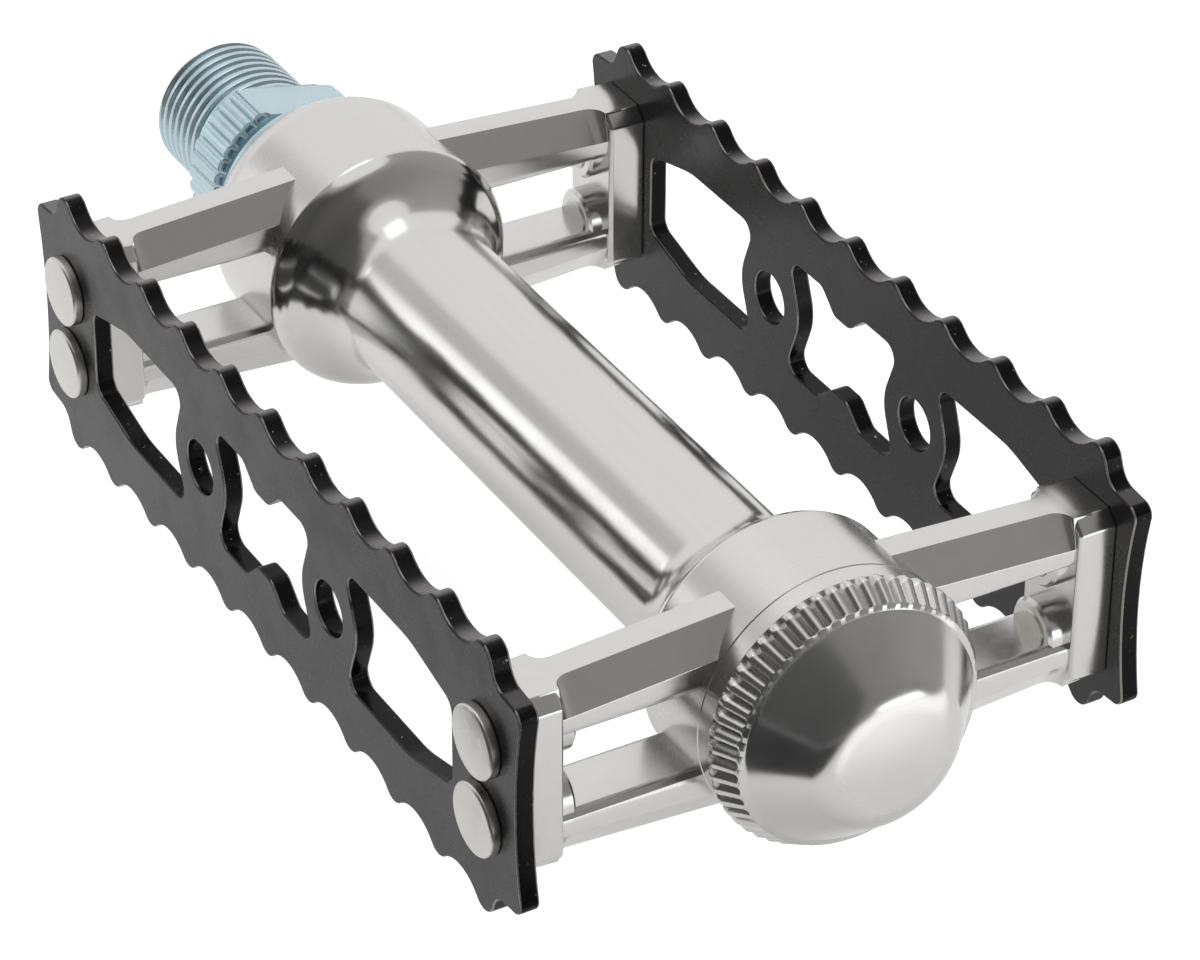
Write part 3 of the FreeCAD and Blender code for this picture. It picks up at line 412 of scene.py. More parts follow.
def turn(name, outline, steps, axis=SPINDLE_AXIS, centre=(0, 0, 0)):
    """Spin an outline of (along, radius) points about an axis, as on a lathe."""
    along = Vector(axis)
    out = Vector((0, 0, 1))
    points = [Vector(centre) + along * a + out * r for a, r in outline]
    if outline[0][1] > TINY:
        points.append(points[0])
    piece = draw_line(name, points)
    bpy.ops.mesh.select_all(action="SELECT")
    bpy.ops.mesh.spin(steps=steps, angle=math.tau, center=centre, axis=axis)
    close_up()
    leave()
    return piece


def arc(centre, radius, start, stop, steps):
    """Points on an arc in the outline plane, angles in degrees from the axis."""
    points = []
    for step in range(steps + 1):
        angle = math.radians(start + (stop - start) * step / steps)
        along = centre[0] + radius * math.cos(angle)
        across = centre[1] + radius * math.sin(angle)
        points.append((along, across))
    return points


def stepped(mouth, way, steps):
    """Outline of a stepped bore, from outside a mouth of the body inwards."""
    outline = []
    now = 0
    for depth, radius in steps:
        station = mouth + way * depth * MM
        outline += [(station, now), (station, radius * MM)]
        now = radius * MM
    return outline


def apply_all(piece):
    """Apply every modifier of a piece."""
    pick(piece)
    for modifier in list(piece.modifiers):
        bpy.ops.object.modifier_apply(modifier=modifier.name)


def combine(piece, other, how="UNION"):
    """Join another closed shape into a piece, or cut the piece with it."""
    cut = piece.modifiers.new("combine", "BOOLEAN")
    cut.operation = how
    cut.solver = "EXACT"
    cut.object = other
    apply_all(piece)
    if not piece.data.polygons:
        raise RuntimeError(f"Nothing is left of {piece.name} after {other.name}")
    bpy.data.objects.remove(other)
    return piece


def soften(piece, width, segments, angle):
    """Round the sharp edges of a piece."""
    rounding = piece.modifiers.new("soften", "BEVEL")
    rounding.width = width
    rounding.segments = segments
    rounding.limit_method = "ANGLE"
    rounding.angle_limit = math.radians(angle)
    rounding.harden_normals = False
    apply_all(piece)


def cut_flutes(piece, form, ridges, depth, radius, inside):
    """Press the grooves between ridges into the verts that lie inside a stretch."""
    steps = ridges * len(form)
    for number, share in enumerate(form):
        if share == 0:
            continue

        def in_groove(vert):
            angle = math.atan2(vert.co.z, vert.co.y) % math.tau
            index = round(angle / math.tau * steps) % len(form)
            return index == number and inside(vert.co)

        choose(piece, "vert", in_groove)
        shrink_round(1 - depth * share / radius)


def finish_piece(piece, material, body, node, smooth_angle):
    """Shade a piece, give it its finish and set it in place of its solid."""
    pick(piece)
    bpy.ops.object.shade_smooth_by_angle(angle=math.radians(smooth_angle))
    flat = piece.modifiers.new("flat_faces", "WEIGHTED_NORMAL")
    flat.mode = "FACE_AREA_WITH_ANGLE"
    flat.keep_sharp = True
    apply_all(piece)
    piece.data.materials.clear()
    piece.data.materials.append(material)
    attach(piece, body)
    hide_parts(node)


class PEDAL_OT_spindle(bpy.types.Operator):
    """Turn the spindle: crank thread, knurled wrench collar, seal flange and shaft"""

    bl_idname = "pedal.spindle"
    bl_label = "Turn Spindle"

    def execute(self, context):
        sizes = context.scene.pedal_spindle
        thread = self.cut_thread(sizes)
        collar = self.knurl_collar(sizes)
        shaft = self.turn_shaft(sizes)
        combine(shaft, collar)
        combine(shaft, thread)
        shaft.name = "plated_spindle"
        finish_piece(shaft, zinc_plate(context), SPINDLE, "spindle", smooth_angle=28)
        return {"FINISHED"}

    def cut_thread(self, sizes):
        """A helix longer than the thread, trimmed to a blank with a chamfered end."""
        pitch = sizes.thread_pitch
        radius = sizes.thread_radius
        root = radius - sizes.thread_depth
        start = sizes.thread_end
        first = start - 2 * pitch
        last = 0.5 * MM
        points = []
        for along, below in THREAD_FORM:
            points.append(Vector((first + along * pitch, 0, radius - below * sizes.thread_depth)))
        thread = draw_line("crank_thread", points)
        leave()
        helix = thread.modifiers.new("helix", "SCREW")
        helix.axis = "X"
        helix.angle = math.tau
        helix.screw_offset = pitch
        helix.iterations = math.ceil((last - first) / pitch) + 1
        helix.steps = THREAD_STEPS
        helix.render_steps = THREAD_STEPS
        helix.use_merge_vertices = True
        apply_all(thread)
        open_up(thread)
        close_up()
        for station, way in ((start - 0.4 * pitch, -1), (last - 0.1 * MM, 1)):
            bpy.ops.mesh.select_all(action="SELECT")
            bpy.ops.mesh.bisect(
                plane_co=(station, 0, 0),
                plane_no=(way, 0, 0),
                use_fill=True,
                clear_outer=True,
                threshold=TINY / 10,
            )
        close_up()
        leave()
        into_collar = 0.3 * MM
        blank_radius = radius + 0.01 * MM
        outline = (
            (start + sizes.centre_depth, 0),
            (start, sizes.centre_radius),
            (start, root - 0.1 * MM),
            (start + sizes.thread_chamfer, blank_radius),
            (into_collar, blank_radius),
            (into_collar, 0),
        )
        return combine(thread, turn("thread_blank", outline, TURN), "INTERSECT")

    def knurl_collar(self, sizes):
        """A bar with rounded ridges, chamfered ends and two wrench flats."""
        stop = sizes.collar_length
        radius = sizes.collar_radius
        bevel = sizes.collar_bevel
        start_clean()
        bpy.ops.mesh.primitive_cylinder_add(
            vertices=sizes.collar_ridges * len(COLLAR_GROOVE),
            radius=radius,
            depth=stop,
            location=(stop / 2, 0, 0),
            rotation=(0, math.pi / 2, 0),
        )
        collar = bpy.context.object
        collar.name = "wrench_collar"
        place_now(collar)
        open_up(collar)
        full_depth = bevel * 2.2
        for station in (bevel, full_depth, stop - full_depth, stop - bevel):
            bpy.ops.mesh.select_all(action="SELECT")
            bpy.ops.mesh.bisect(plane_co=(station, 0, 0), plane_no=SPINDLE_AXIS)

        def between_ends(place):
            return bevel / 2 < place.x < stop - bevel / 2

        cut_flutes(
            collar, COLLAR_GROOVE, sizes.collar_ridges, sizes.ridge_depth, radius, between_ends
        )
        choose(collar, "vert", lambda vert: not TINY <= vert.co.x <= stop - TINY)
        shrink_round(1 - bevel * 2 / radius)
        upright = Vector((0, -math.sin(sizes.flat_turn), math.cos(sizes.flat_turn)))
        for way in BOTH_WAYS:
            bpy.ops.mesh.select_all(action="SELECT")
            bpy.ops.mesh.bisect(
                plane_co=upright * way * sizes.across_flats / 2,
                plane_no=upright * way,
                use_fill=True,
                clear_outer=True,
            )
        close_up()
        leave()
        return collar

    def turn_shaft(self, sizes):
        """Neck, seal flange, inboard race and the shaft with its outboard thread."""
        into_collar = 0.3 * MM
        neck_round = 0.3 * MM
        race_relief = 5 * MM
        neck = sizes.neck_radius
        flange = sizes.flange_radius
        face = sizes.flange_start
        rim = sizes.flange_rim
        race_centre = (sizes.race_station, sizes.race_radius)
        race_reach = sizes.race_station - sizes.flange_end
        race = arc(race_centre, race_reach, start=180, stop=270, steps=8)
        outline = [
            (sizes.collar_length - into_collar, 0),
            (sizes.collar_length - into_collar, neck),
            (face - neck_round, neck),
            (face, neck + neck_round),
            (face, flange - rim),
            (face + rim * 0.3, flange - rim * 0.3),
            (face + rim, flange),
            (sizes.flange_end, flange),
            *race,
            (sizes.race_station + race_relief, sizes.shaft_radius),
            (sizes.shaft_end, sizes.shaft_radius - sizes.shaft_taper),
            (sizes.shaft_end, sizes.stud_radius),
            (sizes.stud_end - sizes.stud_chamfer, sizes.stud_radius),
            (sizes.stud_end, sizes.stud_radius - sizes.stud_chamfer),
            (sizes.stud_end, 0),
        ]
        return turn("spindle_shaft", outline, TURN)


class PEDAL_OT_body(bpy.types.Operator):
    """Cast the body: tube, two bosses and four railed arms with riveting pads"""

    bl_idname = "pedal.body"
    bl_label = "Cast Body"

    def execute(self, context):
        sizes = context.scene.pedal_body
        body = self.turn_tube(sizes)
        for arm in (sizes.inboard_arm, sizes.outboard_arm):
            for side in BOTH_WAYS:
                combine(body, self.build_arm(sizes, arm, side))
        bore = stepped(sizes.start, 1, INBOARD_BORE)
        bore += reversed(stepped(sizes.end, -1, OUTBOARD_BORE))
        combine(body, turn("bore", bore, TURN), "DIFFERENCE")
        body.name = "cast_body"
        material = satin_aluminium(context)
        finish_piece(body, material, PLATFORM, "pedal_body", smooth_angle=28)
        return {"FINISHED"}

    def shoulder(self, sizes, edge, way):
        """Outline of a boss shoulder from its crisp edge down to the tube."""
        dome = sizes.dome_radius
        fillet = sizes.fillet_radius
        crisp = 20
        first = math.cos(math.radians(crisp))
        drop = sizes.boss_radius - sizes.tube_radius
        steep = math.acos((dome * first + fillet - drop) / (dome + fillet))
        steep_angle = math.degrees(steep)
        dome_centre = (-dome * math.sin(math.radians(crisp)), sizes.boss_radius - dome * first)
        points = arc(dome_centre, dome, 90 - crisp, 90 - steep_angle, steps=12)
        fillet_centre = (points[-1][0] + fillet * math.sin(steep), sizes.tube_radius + fillet)
        points += arc(fillet_centre, fillet, 270 - steep_angle, 270, steps=10)[1:]
        return [(edge + along * way, across) for along, across in points]

    def turn_tube(self, sizes):
        """The turned form of the tube, its bosses and the tapered nose."""
        boss = sizes.boss_radius
        lower = boss - sizes.boss_step
        nose_end = sizes.start + 5.7 * MM
        band = 2 * MM
        ramp = 0.1 * MM
        rim = 0.15 * MM
        mouth_round = 0.2 * MM
        inboard = sizes.inboard_arm + sizes.shoulder_inset
        outboard = sizes.outboard_arm - sizes.shoulder_inset
        outline = [
            (sizes.start, 0),
            *((sizes.start + along * MM, lower - drop * MM) for along, drop in NOSE),
            (nose_end, boss),
            (inboard - rim, boss),
            *self.shoulder(sizes, inboard, 1),
            *reversed(self.shoulder(sizes, outboard, -1)),
            (outboard + rim, boss),
            (sizes.end - band - ramp, boss),
            (sizes.end - band, lower),
            (sizes.end - mouth_round, lower),
            (sizes.end, lower - mouth_round),
            (sizes.end, 0),
        ]
        return turn("tube_and_bosses", outline, FINE_TURN)

    def build_arm(self, sizes, arm, side):
        """A riveting pad with its rivet stubs and the two rails that carry it."""
        pad = self.build_pad(sizes, arm, side)
        for level in BOTH_WAYS:
            combine(pad, self.build_stub(sizes, arm, side, level))
        for level in BOTH_WAYS:
            combine(pad, self.build_rail(sizes, arm, side, level))
        return pad

    def build_pad(self, sizes, arm, side):
        """A riveting pad with cut corners and a bevelled inner edge."""
        middle = sizes.pad_face - sizes.pad_depth / 2
        size = (sizes.pad_width, sizes.pad_depth, sizes.pad_height)
        pad = add_block("riveting_pad", (arm, side * middle, 0), size)
        choose(pad, "edge", lambda edge: abs(edge.verts[0].co.y - edge.verts[1].co.y) > TINY)
        bpy.ops.mesh.bevel(offset=sizes.pad_chamfer, segments=1)
        back = sizes.pad_face - sizes.pad_depth

        def behind(edge):
            return all(abs(abs(vert.co.y) - back) < TINY for vert in edge.verts)

        choose(pad, "edge", behind)
        bpy.ops.mesh.bevel(offset=sizes.pad_bevel, segments=2)
        leave()
        soften(pad, sizes.edge_round * 0.8, segments=2, angle=25)
        return pad

    def build_stub(self, sizes, arm, side, level):
        """The stub behind a pad that a rivet is peened into."""
        chamfer = 0.3 * MM
        rivet_height = bpy.context.scene.pedal_plates.rivet_height
        start = sizes.pad_face - MM
        stop = sizes.pad_face - sizes.stub_reach
        outline = (
            (side * start, 0),
            (side * start, sizes.stub_radius),
            (side * (stop + chamfer), sizes.stub_radius),
            (side * stop, sizes.stub_radius - chamfer),
            (side * stop, 0),
        )
        return turn("rivet_boss", outline, STUB_TURN, RIVET_AXIS, (arm, 0, level * rivet_height))

    def build_rail(self, sizes, arm, side, level):
        """A bar with a flat strip between two chamfers, flared where it meets its pad."""
        foot = sizes.rail_foot
        window = sizes.rail_window
        neck = sizes.pad_face - sizes.pad_depth - sizes.pad_flare
        flank = sizes.rail_top - sizes.rail_chamfer
        place = (arm, side * (foot + neck) / 2, level * (window + flank) / 2)
        rail = add_block("arm_rail", place, (sizes.rail_width, neck - foot, flank - window))
        choose(rail, "face", lambda face: face.normal.z * level > FACING)
        draw_out((0, 0, level * sizes.rail_chamfer))
        widen(arm, sizes.rail_strip / sizes.rail_width)

        def along_window(edge):
            low_down = all(abs(abs(vert.co.z) - window) < TINY for vert in edge.verts)
            return low_down and abs(edge.verts[0].co.y - edge.verts[1].co.y) > MM

        choose(rail, "edge", along_window)
        bpy.ops.mesh.bevel(offset=sizes.window_round, segments=3)
        self.flare_rail(sizes, rail, arm, side, neck, flank)
        self.tilt_rail(sizes, rail, level, flank)
        leave()
        soften(rail, sizes.edge_round, segments=3, angle=24)
        return rail

    def flare_rail(self, sizes, rail, arm, side, neck, flank):
        """Draw the end of a rail out into a hollow flare and on into its pad."""
        reach = neck
        widest = sizes.pad_width - MM
        straight = (sizes.rail_strip, sizes.rail_width)
        widths = straight
        for step in range(1, FLARE_STEPS + 1):
            turned = math.pi / 2 * step / FLARE_STEPS
            advance = neck + sizes.pad_flare * math.sin(turned) - reach
            choose_end(rail, side)
            draw_out((0, side * advance, 0))
            reach += advance
            gain = sizes.pad_flare * (1 - math.cos(turned))
            wanted = [min(width + 2 * gain, widest) for width in straight]
            for on_strip, now, then in zip((True, False), widths, wanted):

                def at_end(vert):
                    above = abs(vert.co.z) > flank + TINY
                    return abs(abs(vert.co.y) - reach) < TINY and above == on_strip

                choose(rail, "vert", at_end)
                widen(arm, then / now)
            widths = wanted
        choose_end(rail, side)
        draw_out((0, side * sizes.pad_depth / 2, 0))

    def tilt_rail(self, sizes, rail, level, flank):
        """Raise a rail's strip and flanks towards the spindle."""
        slope = sizes.rail_rise / sizes.pad_face
        verts = bmesh.from_edit_mesh(rail.data).verts
        for mark in sorted({round(abs(vert.co.y) / TINY) for vert in verts}):

            def at_mark(vert):
                return round(abs(vert.co.y) / TINY) == mark and abs(vert.co.z) > flank - TINY

            choose(rail, "vert", at_mark)
            rise = slope * (sizes.pad_face - mark * TINY)
            bpy.ops.transform.translate(value=(0, 0, level * rise))
        bpy.ops.mesh.select_all(action="SELECT")
        bpy.ops.mesh.normals_make_consistent(inside=False)


class PEDAL_OT_cage_plates(bpy.types.Operator):
    """Round the edges of the two toothed cage plates"""

    bl_idname = "pedal.cage_plates"
    bl_label = "Finish Cage Plates"

    def execute(self, context):
        sizes = context.scene.pedal_plates
        coating = plate_coating(context)
        cut_edge = plate_cut_edge(context)
        nearly_flat = math.radians(0.5)
        edge_on = 0.2
        for side in ("front", "rear"):
            node = f"{side}_cage_plate"
            plate = frame["nodes"][node].copy()
            plate.data = plate.data.copy()
            plate.name = f"{side}_toothed_plate"
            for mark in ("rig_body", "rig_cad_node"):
                del plate[mark]
            plate.parent = None
            context.scene.collection.objects.link(plate)
            open_up(plate)
            bpy.ops.mesh.remove_doubles(threshold=TINY)
            bpy.ops.mesh.dissolve_limited(angle_limit=nearly_flat)
            leave()
            soften(plate, sizes.edge_round, segments=3, angle=50)
            finish_piece(plate, coating, PLATFORM, node, smooth_angle=35)
            plate.data.materials.append(cut_edge)
            plate.active_material_index = 1
            open_up(plate)
            choose(plate, "face", lambda face: abs(face.normal.y) < edge_on)
            bpy.ops.object.material_slot_assign()
            leave()
        return {"FINISHED"}


class PEDAL_OT_rivets(bpy.types.Operator):
    """Form the rivets that hold the cage plates"""

    bl_idname = "pedal.rivets"
    bl_label = "Form Rivets"

    def execute(self, context):
        sizes = context.scene.pedal_plates
        body = context.scene.pedal_body
        plating = rivet_plating(context)
        for side, node in ((1, "front_cage_rivets"), (-1, "rear_cage_rivets")):
            rivets = []
            for arm in (body.inboard_arm, body.outboard_arm):
                for level in BOTH_WAYS:
                    rivets.append(self.form_rivet(sizes, node, side, arm, level))
            pick(*rivets)
            bpy.ops.object.join()
            piece = bpy.context.object
            piece.name = node.replace("cage_rivets", "rivets")
            finish_piece(piece, plating, PLATFORM, node, smooth_angle=40)
        return {"FINISHED"}

    def form_rivet(self, sizes, node, side, arm, level):
        """One rivet: a nearly flat head with a rolled rim, and its shank."""
        outer = high(node, 1) if side > 0 else -low(node, 1)
        inner = low(node, 1) if side > 0 else -high(node, 1)
        seat = outer - sizes.head_height
        seat_round = 0.12 * MM
        peened = 0.15 * MM
        rim = sizes.head_rim
        crown = sizes.head_crown
        radius = sizes.head_radius
        shank = sizes.shank_radius
        outline = [
            (outer, 0),
            (outer - crown * 0.3, radius * 0.5),
            *arc((outer - crown - rim, radius - rim), rim, start=10, stop=90, steps=6),
            (seat + seat_round, radius),
            (seat, radius - seat_round),
            (seat, shank),
            (inner, shank),
            (inner - peened, shank - peened),
            (inner - peened, 0),
        ]
        outline = [(along * side, across) for along, across in outline]
        place = (arm, 0, level * sizes.rivet_height)
        return turn("rivet", outline, RIVET_TURN, RIVET_AXIS, place)


class PEDAL_OT_dust_cap(bpy.types.Operator):
    """Turn the dust cap and knurl its band"""

    bl_idname = "pedal.dust_cap"
    bl_label = "Turn Dust Cap"

    def execute(self, context):
        sizes = context.scene.pedal_cap
        cap = turn("dust_cap_turned", self.outline(sizes), sizes.ridges * len(CAP_GROOVE))
        open_up(cap)
        foot = sizes.band_start + 0.12 * MM
        band_end = sizes.band_start + sizes.band_length
        run_out = band_end + GROOVED_RIM * MM

        def on_band(place):
            outside = math.hypot(place.y, place.z) > sizes.rim_radius - TINY
            return outside and foot < place.x < run_out - 0.07 * MM

        def on_rim(place):
            return abs(place.x - run_out) < TINY

        for depth, inside in ((sizes.rim_groove, on_rim), (sizes.ridge_depth, on_band)):
            cut_flutes(cap, CAP_GROOVE, sizes.ridges, depth, sizes.band_radius, inside)
        close_up()
        leave()
        finish_piece(cap, polished_cap(context), PLATFORM, "dust_cap", smooth_angle=40)
        return {"FINISHED"}

    def outline(self, sizes):
        """Crown, rounded shoulder, dome, sloping band, skirt and hollow."""
        band = sizes.band_start
        band_end = band + sizes.band_length
        radius = sizes.band_radius
        slope_start = band_end - sizes.band_slope
        rim = sizes.rim_radius
        edge = sizes.shoulder_radius
        shoulder = sizes.top - sizes.crown_height
        hollow = shoulder - sizes.wall
        bend = sizes.shoulder_round
        dome_slope = math.atan2(rim - edge, shoulder - band_end)
        crown_slope = math.atan2(edge, sizes.crown_height)
        reach = bend * math.tan((crown_slope - dome_slope) / 2)
        centre = (
            shoulder + reach * math.cos(crown_slope) - bend * math.sin(crown_slope),
            edge - reach * math.sin(crown_slope) - bend * math.cos(crown_slope),
        )
        first = 90 - math.degrees(crown_slope)
        last = 90 - math.degrees(dome_slope)
        return [
            (sizes.top, 0),
            (sizes.top - 0.05 * MM, edge * 0.3),
            *arc(centre, bend, first, last, steps=12),
            *((band_end + along * MM, rim + over * MM) for along, over in CAP_RIM),
            (slope_start, radius - 0.03 * MM),
            (slope_start - 0.15 * MM, radius),
            (band + 0.45 * MM, radius),
            (band + 0.2 * MM, radius - 0.06 * MM),
            (band, radius - 0.35 * MM),
            (band, sizes.skirt_radius),
            (sizes.skirt_start, sizes.skirt_radius),
            (sizes.skirt_start, sizes.skirt_bore),
            (band + sizes.hollow_depth, sizes.skirt_bore),
            (hollow, sizes.hollow_radius),
            (hollow, 0),
        ]


class PEDAL_OT_bearings(bpy.types.Operator):
    """Give the cups, balls, cone, washer and nut their steel"""

    bl_idname = "pedal.bearings"
    bl_label = "Finish Bearings"

    def execute(self, context):
        steel = bearing_steel(context)
        shown = [node for node in frame["nodes"].values() if not node.hide_render]
        if not shown:
            raise RuntimeError("No bearing piece is left to finish")
        for node in shown:
            node.data.materials.clear()
            node.data.materials.append(steel)
        return {"FINISHED"}


class PEDAL_OT_studio(bpy.types.Operator):
    """Set the pale floor, the soft lights and the camera"""

    bl_idname = "pedal.studio"
    bl_label = "Set Studio"

    def execute(self, context):
        settings = context.scene.pedal_studio
        scene = context.scene
        scene.view_settings.view_transform = "Standard"
        self.lay_floor(settings)
        self.light_world(scene)
        self.hang_lamps(scene)
        self.stand_screen()
        self.stand_cards()
        lens = bpy.data.cameras.new("photo_camera")
        lens.lens = settings.lens
        lens.sensor_width = 36
        lens.clip_start = 0.01
        camera = bpy.data.objects.new("photo_camera", lens)
        camera.location = settings.camera_place
        camera.rotation_euler = settings.camera_turn
        scene.collection.objects.link(camera)
        scene.camera = camera
        return {"FINISHED"}

    def lay_floor(self, settings):
        """A pale floor below the turning cage, white to the camera and pale in metal."""
        start_clean()
        level = CAD_BOX[0][2] - settings.floor_gap
        breadth = 6
        to_camera = 0.76
        in_metal = 0.4
        bpy.ops.mesh.primitive_plane_add(size=breadth, location=(MIDDLE, 0, level))
        floor = bpy.context.object
        floor.name = "studio_floor"
        place_now(floor)
        material = bpy.data.materials.new("pale_floor")
        board = blank_board(material)
        path = board.add("ShaderNodeLightPath").outputs
        eye = board.maths("MAXIMUM", path["Is Camera Ray"], path["Is Transmission Ray"])
        direct = board.maths("MULTIPLY", eye, to_camera)
        share = board.maths("MULTIPLY_ADD", path["Is Glossy Ray"], in_metal, direct)
        glow = board.add("ShaderNodeEmission", {"Color": grey(1), "Strength": share})
        paint = board.add("ShaderNodeBsdfDiffuse", {"Color": grey(0.34)})
        both = board.add("ShaderNodeAddShader", {0: paint.outputs[0], 1: glow.outputs[0]})
        board.add("ShaderNodeOutputMaterial", {"Surface": both.outputs[0]})
        floor.data.materials.append(material)

    def light_world(self, scene):
        """White to the camera and in metal, a softer grey as light, with one dim patch."""
        as_light = 0.55
        patch_way = (-0.742, -0.429, 0.515)
        patch_edge = 0.965
        patch_core = 0.997
        patch_depth = 0.36
        world = bpy.data.worlds.new("studio")
        scene.world = world
        board = blank_board(world)
        path = board.add("ShaderNodeLightPath").outputs
        shown = board.maths("MAXIMUM", path["Is Camera Ray"], path["Is Glossy Ray"])
        seen = board.maths("MAXIMUM", shown, path["Is Transmission Ray"])
        level = board.add("ShaderNodeMapRange", {"To Min": as_light, "To Max": 1, "Value": seen})
        patch = board.add(
            "ShaderNodeVectorMath",
            {0: board.place("Generated"), 1: patch_way},
            operation="DOT_PRODUCT",
        )
        shade = board.ramp(patch.outputs["Value"], patch_edge, patch_core)
        dimmed = board.maths("MULTIPLY_ADD", shade, -patch_depth, 1)
        strength = board.maths("MULTIPLY", level.outputs["Result"], dimmed)
        sky = board.add("ShaderNodeBackground", {"Color": grey(1), "Strength": strength})
        board.add("ShaderNodeOutputWorld", {"Surface": sky.outputs[0]})

    def hang_lamps(self, scene):
        """One large soft key overhead and a weaker fill from the left."""
        for name, place, size, power in LAMPS:
            lamp = bpy.data.lights.new(name, "AREA")
            lamp.shape = "SQUARE"
            lamp.size = size
            lamp.energy = power
            item = bpy.data.objects.new(name, lamp)
            item.location = place
            aim = Vector((MIDDLE, 0, 0)) - Vector(place)
            item.rotation_euler = aim.to_track_quat("-Z", "Y").to_euler()
            item.visible_glossy = False
            scene.collection.objects.link(item)

    def stand_cards(self):
        """Cards out of view, which only polished metal shows."""
        for name, place, aim, size, strength in CARDS:
            start_clean()
            bpy.ops.mesh.primitive_plane_add(size=1)
            card = bpy.context.object
            card.name = name
            card.scale = (*size, 1)
            card.location = place
            towards = Vector(aim) - Vector(place)
            card.rotation_euler = towards.to_track_quat("Z", "Y").to_euler()
            place_now(card)
            board, glow = self.paper(card)
            board.feed(glow.inputs["Color"], grey(1))
            board.feed(glow.inputs["Strength"], strength)

    def stand_screen(self):
        """A curved screen round the camera's side, dark at the left, grey at the right."""
        radius = 0.8
        height = 1.9
        level = 0.936
        full_height_from = -80
        lowest_edge = 0.25
        highest_edge = 1.15
        fade = 0.5
        start_clean()
        bpy.ops.mesh.primitive_cylinder_add(
            vertices=TURN,
            radius=radius,
            depth=height,
            end_fill_type="NOTHING",
            location=(MIDDLE, 0, level),
        )
        screen = bpy.context.object
        screen.name = "camera_side_screen"
        place_now(screen)
        open_up(screen)
        first, last = SCREEN_ENDS

        def behind(face):
            place = face.calc_center_median()
            return not first < math.degrees(math.atan2(place.y, place.x - MIDDLE)) < last

        choose(screen, "face", behind)
        bpy.ops.mesh.delete(type="FACE")
        leave()
        board, glow = self.paper(screen)
        parts = board.split(board.place("Object"))
        ahead = board.maths("SUBTRACT", parts["X"], MIDDLE)
        bearing = board.maths("ARCTAN2", parts["Y"], ahead)
        share = board.maths("MULTIPLY_ADD", bearing, 0.5 / math.pi, 0.5)
        ramp = board.add("ShaderNodeValToRGB", {"Fac": share})
        stops = ramp.color_ramp.elements
        for angle, tone in SCREEN_GREYS:
            stops.new(angle / 360 + 0.5).color = grey(tone)
        stops[0].color = grey(0.2)
        stops[-1].color = grey(0.5)
        limits = {
            "From Min": math.radians(first),
            "From Max": math.radians(full_height_from),
            "To Min": lowest_edge,
            "To Max": highest_edge,
            "Value": bearing,
        }
        limit = board.add("ShaderNodeMapRange", limits).outputs["Result"]
        above = board.ramp(board.maths("SUBTRACT", parts["Z"], limit), 0, fade)
        board.feed(glow.inputs["Color"], board.mix(above, ramp.outputs["Color"], grey(0.44)))

    def paper(self, card):
        """Let only polished metal see a card; returns its board and its glow."""
        card.visible_camera = False
        card.visible_diffuse = False
        card.visible_shadow = False
        card.visible_transmission = False
        material = bpy.data.materials.new(card.name)
        board = blank_board(material)
        glow = board.add("ShaderNodeEmission")
        board.add("ShaderNodeOutputMaterial", {"Surface": glow.outputs[0]})
        card.data.materials.append(material)
        return board, glow


class Board:
    """A node tree with short ways to wire it."""

    def __init__(self, tree):
        self.nodes = tree.nodes
        self.links = tree.links

    def add(self, kind, inputs=None, **settings):
        """Add a node with its settings, its inputs fed by sockets or fixed values."""
        node = self.nodes.new(kind)
        for name, value in settings.items():
            setattr(node, name, value)
        for label, given in (inputs or {}).items():
            self.feed(node.inputs[label], given)
        return node

    def feed(self, socket, given):
        """Feed an input from a socket or with a fixed value."""
        if isinstance(given, bpy.types.NodeSocket):
            self.links.new(given, socket)
        else:
            socket.default_value = given

    def place(self, kind):
        """Where a point lies, or the normal there."""
        return self.add("ShaderNodeTexCoord").outputs[kind]

    def split(self, vector):
        """The X, Y and Z of a vector."""
        return self.add("ShaderNodeSeparateXYZ", {0: vector}).outputs

    def maths(self, operation, *given):
        """The result of a math node on sockets or numbers."""
        node = self.add("ShaderNodeMath", dict(enumerate(given)), operation=operation)
        return node.outputs[0]

    def ramp(self, value, start, stop):
        """0 before one value, 1 past another, smooth between."""
        inputs = {"From Min": start, "From Max": stop, "Value": value}
        node = self.add("ShaderNodeMapRange", inputs, interpolation_type="SMOOTHSTEP")
        return node.outputs["Result"]

    def noise(self, vector, scale, detail, roughness):
        """The value of a noise texture on a vector."""
        inputs = {"Vector": vector, "Scale": scale, "Detail": detail, "Roughness": roughness}
        return self.add("ShaderNodeTexNoise", inputs).outputs["Fac"]

    def mix(self, factor, first, second, kind="RGBA"):
        """Two colours, or two values, mixed by a factor."""
        inputs = {"Factor": factor, "A": first, "B": second}
        return self.add("ShaderNodeMix", inputs, data_type=kind).outputs["Result"]

    def bump(self, shader, height, strength, distance):
        """A relief from a height into a shader's normal."""
        inputs = {"Strength": strength, "Distance": distance, "Height": height}
        node = self.add("ShaderNodeBump", inputs)
        self.feed(shader.inputs["Normal"], node.outputs["Normal"])


def blank_board(owner):
    """Empty the nodes of a material or world for wiring."""
    owner.use_nodes = True
    owner.node_tree.nodes.clear()
    return Board(owner.node_tree)


def grey(level):
    """A grey of one level."""
    return (level, level, level, 1)


def shaded(tone, share):
    """A colour made darker or lighter by a share."""
    return (*(min(1.0, part * share) for part in tone), 1)


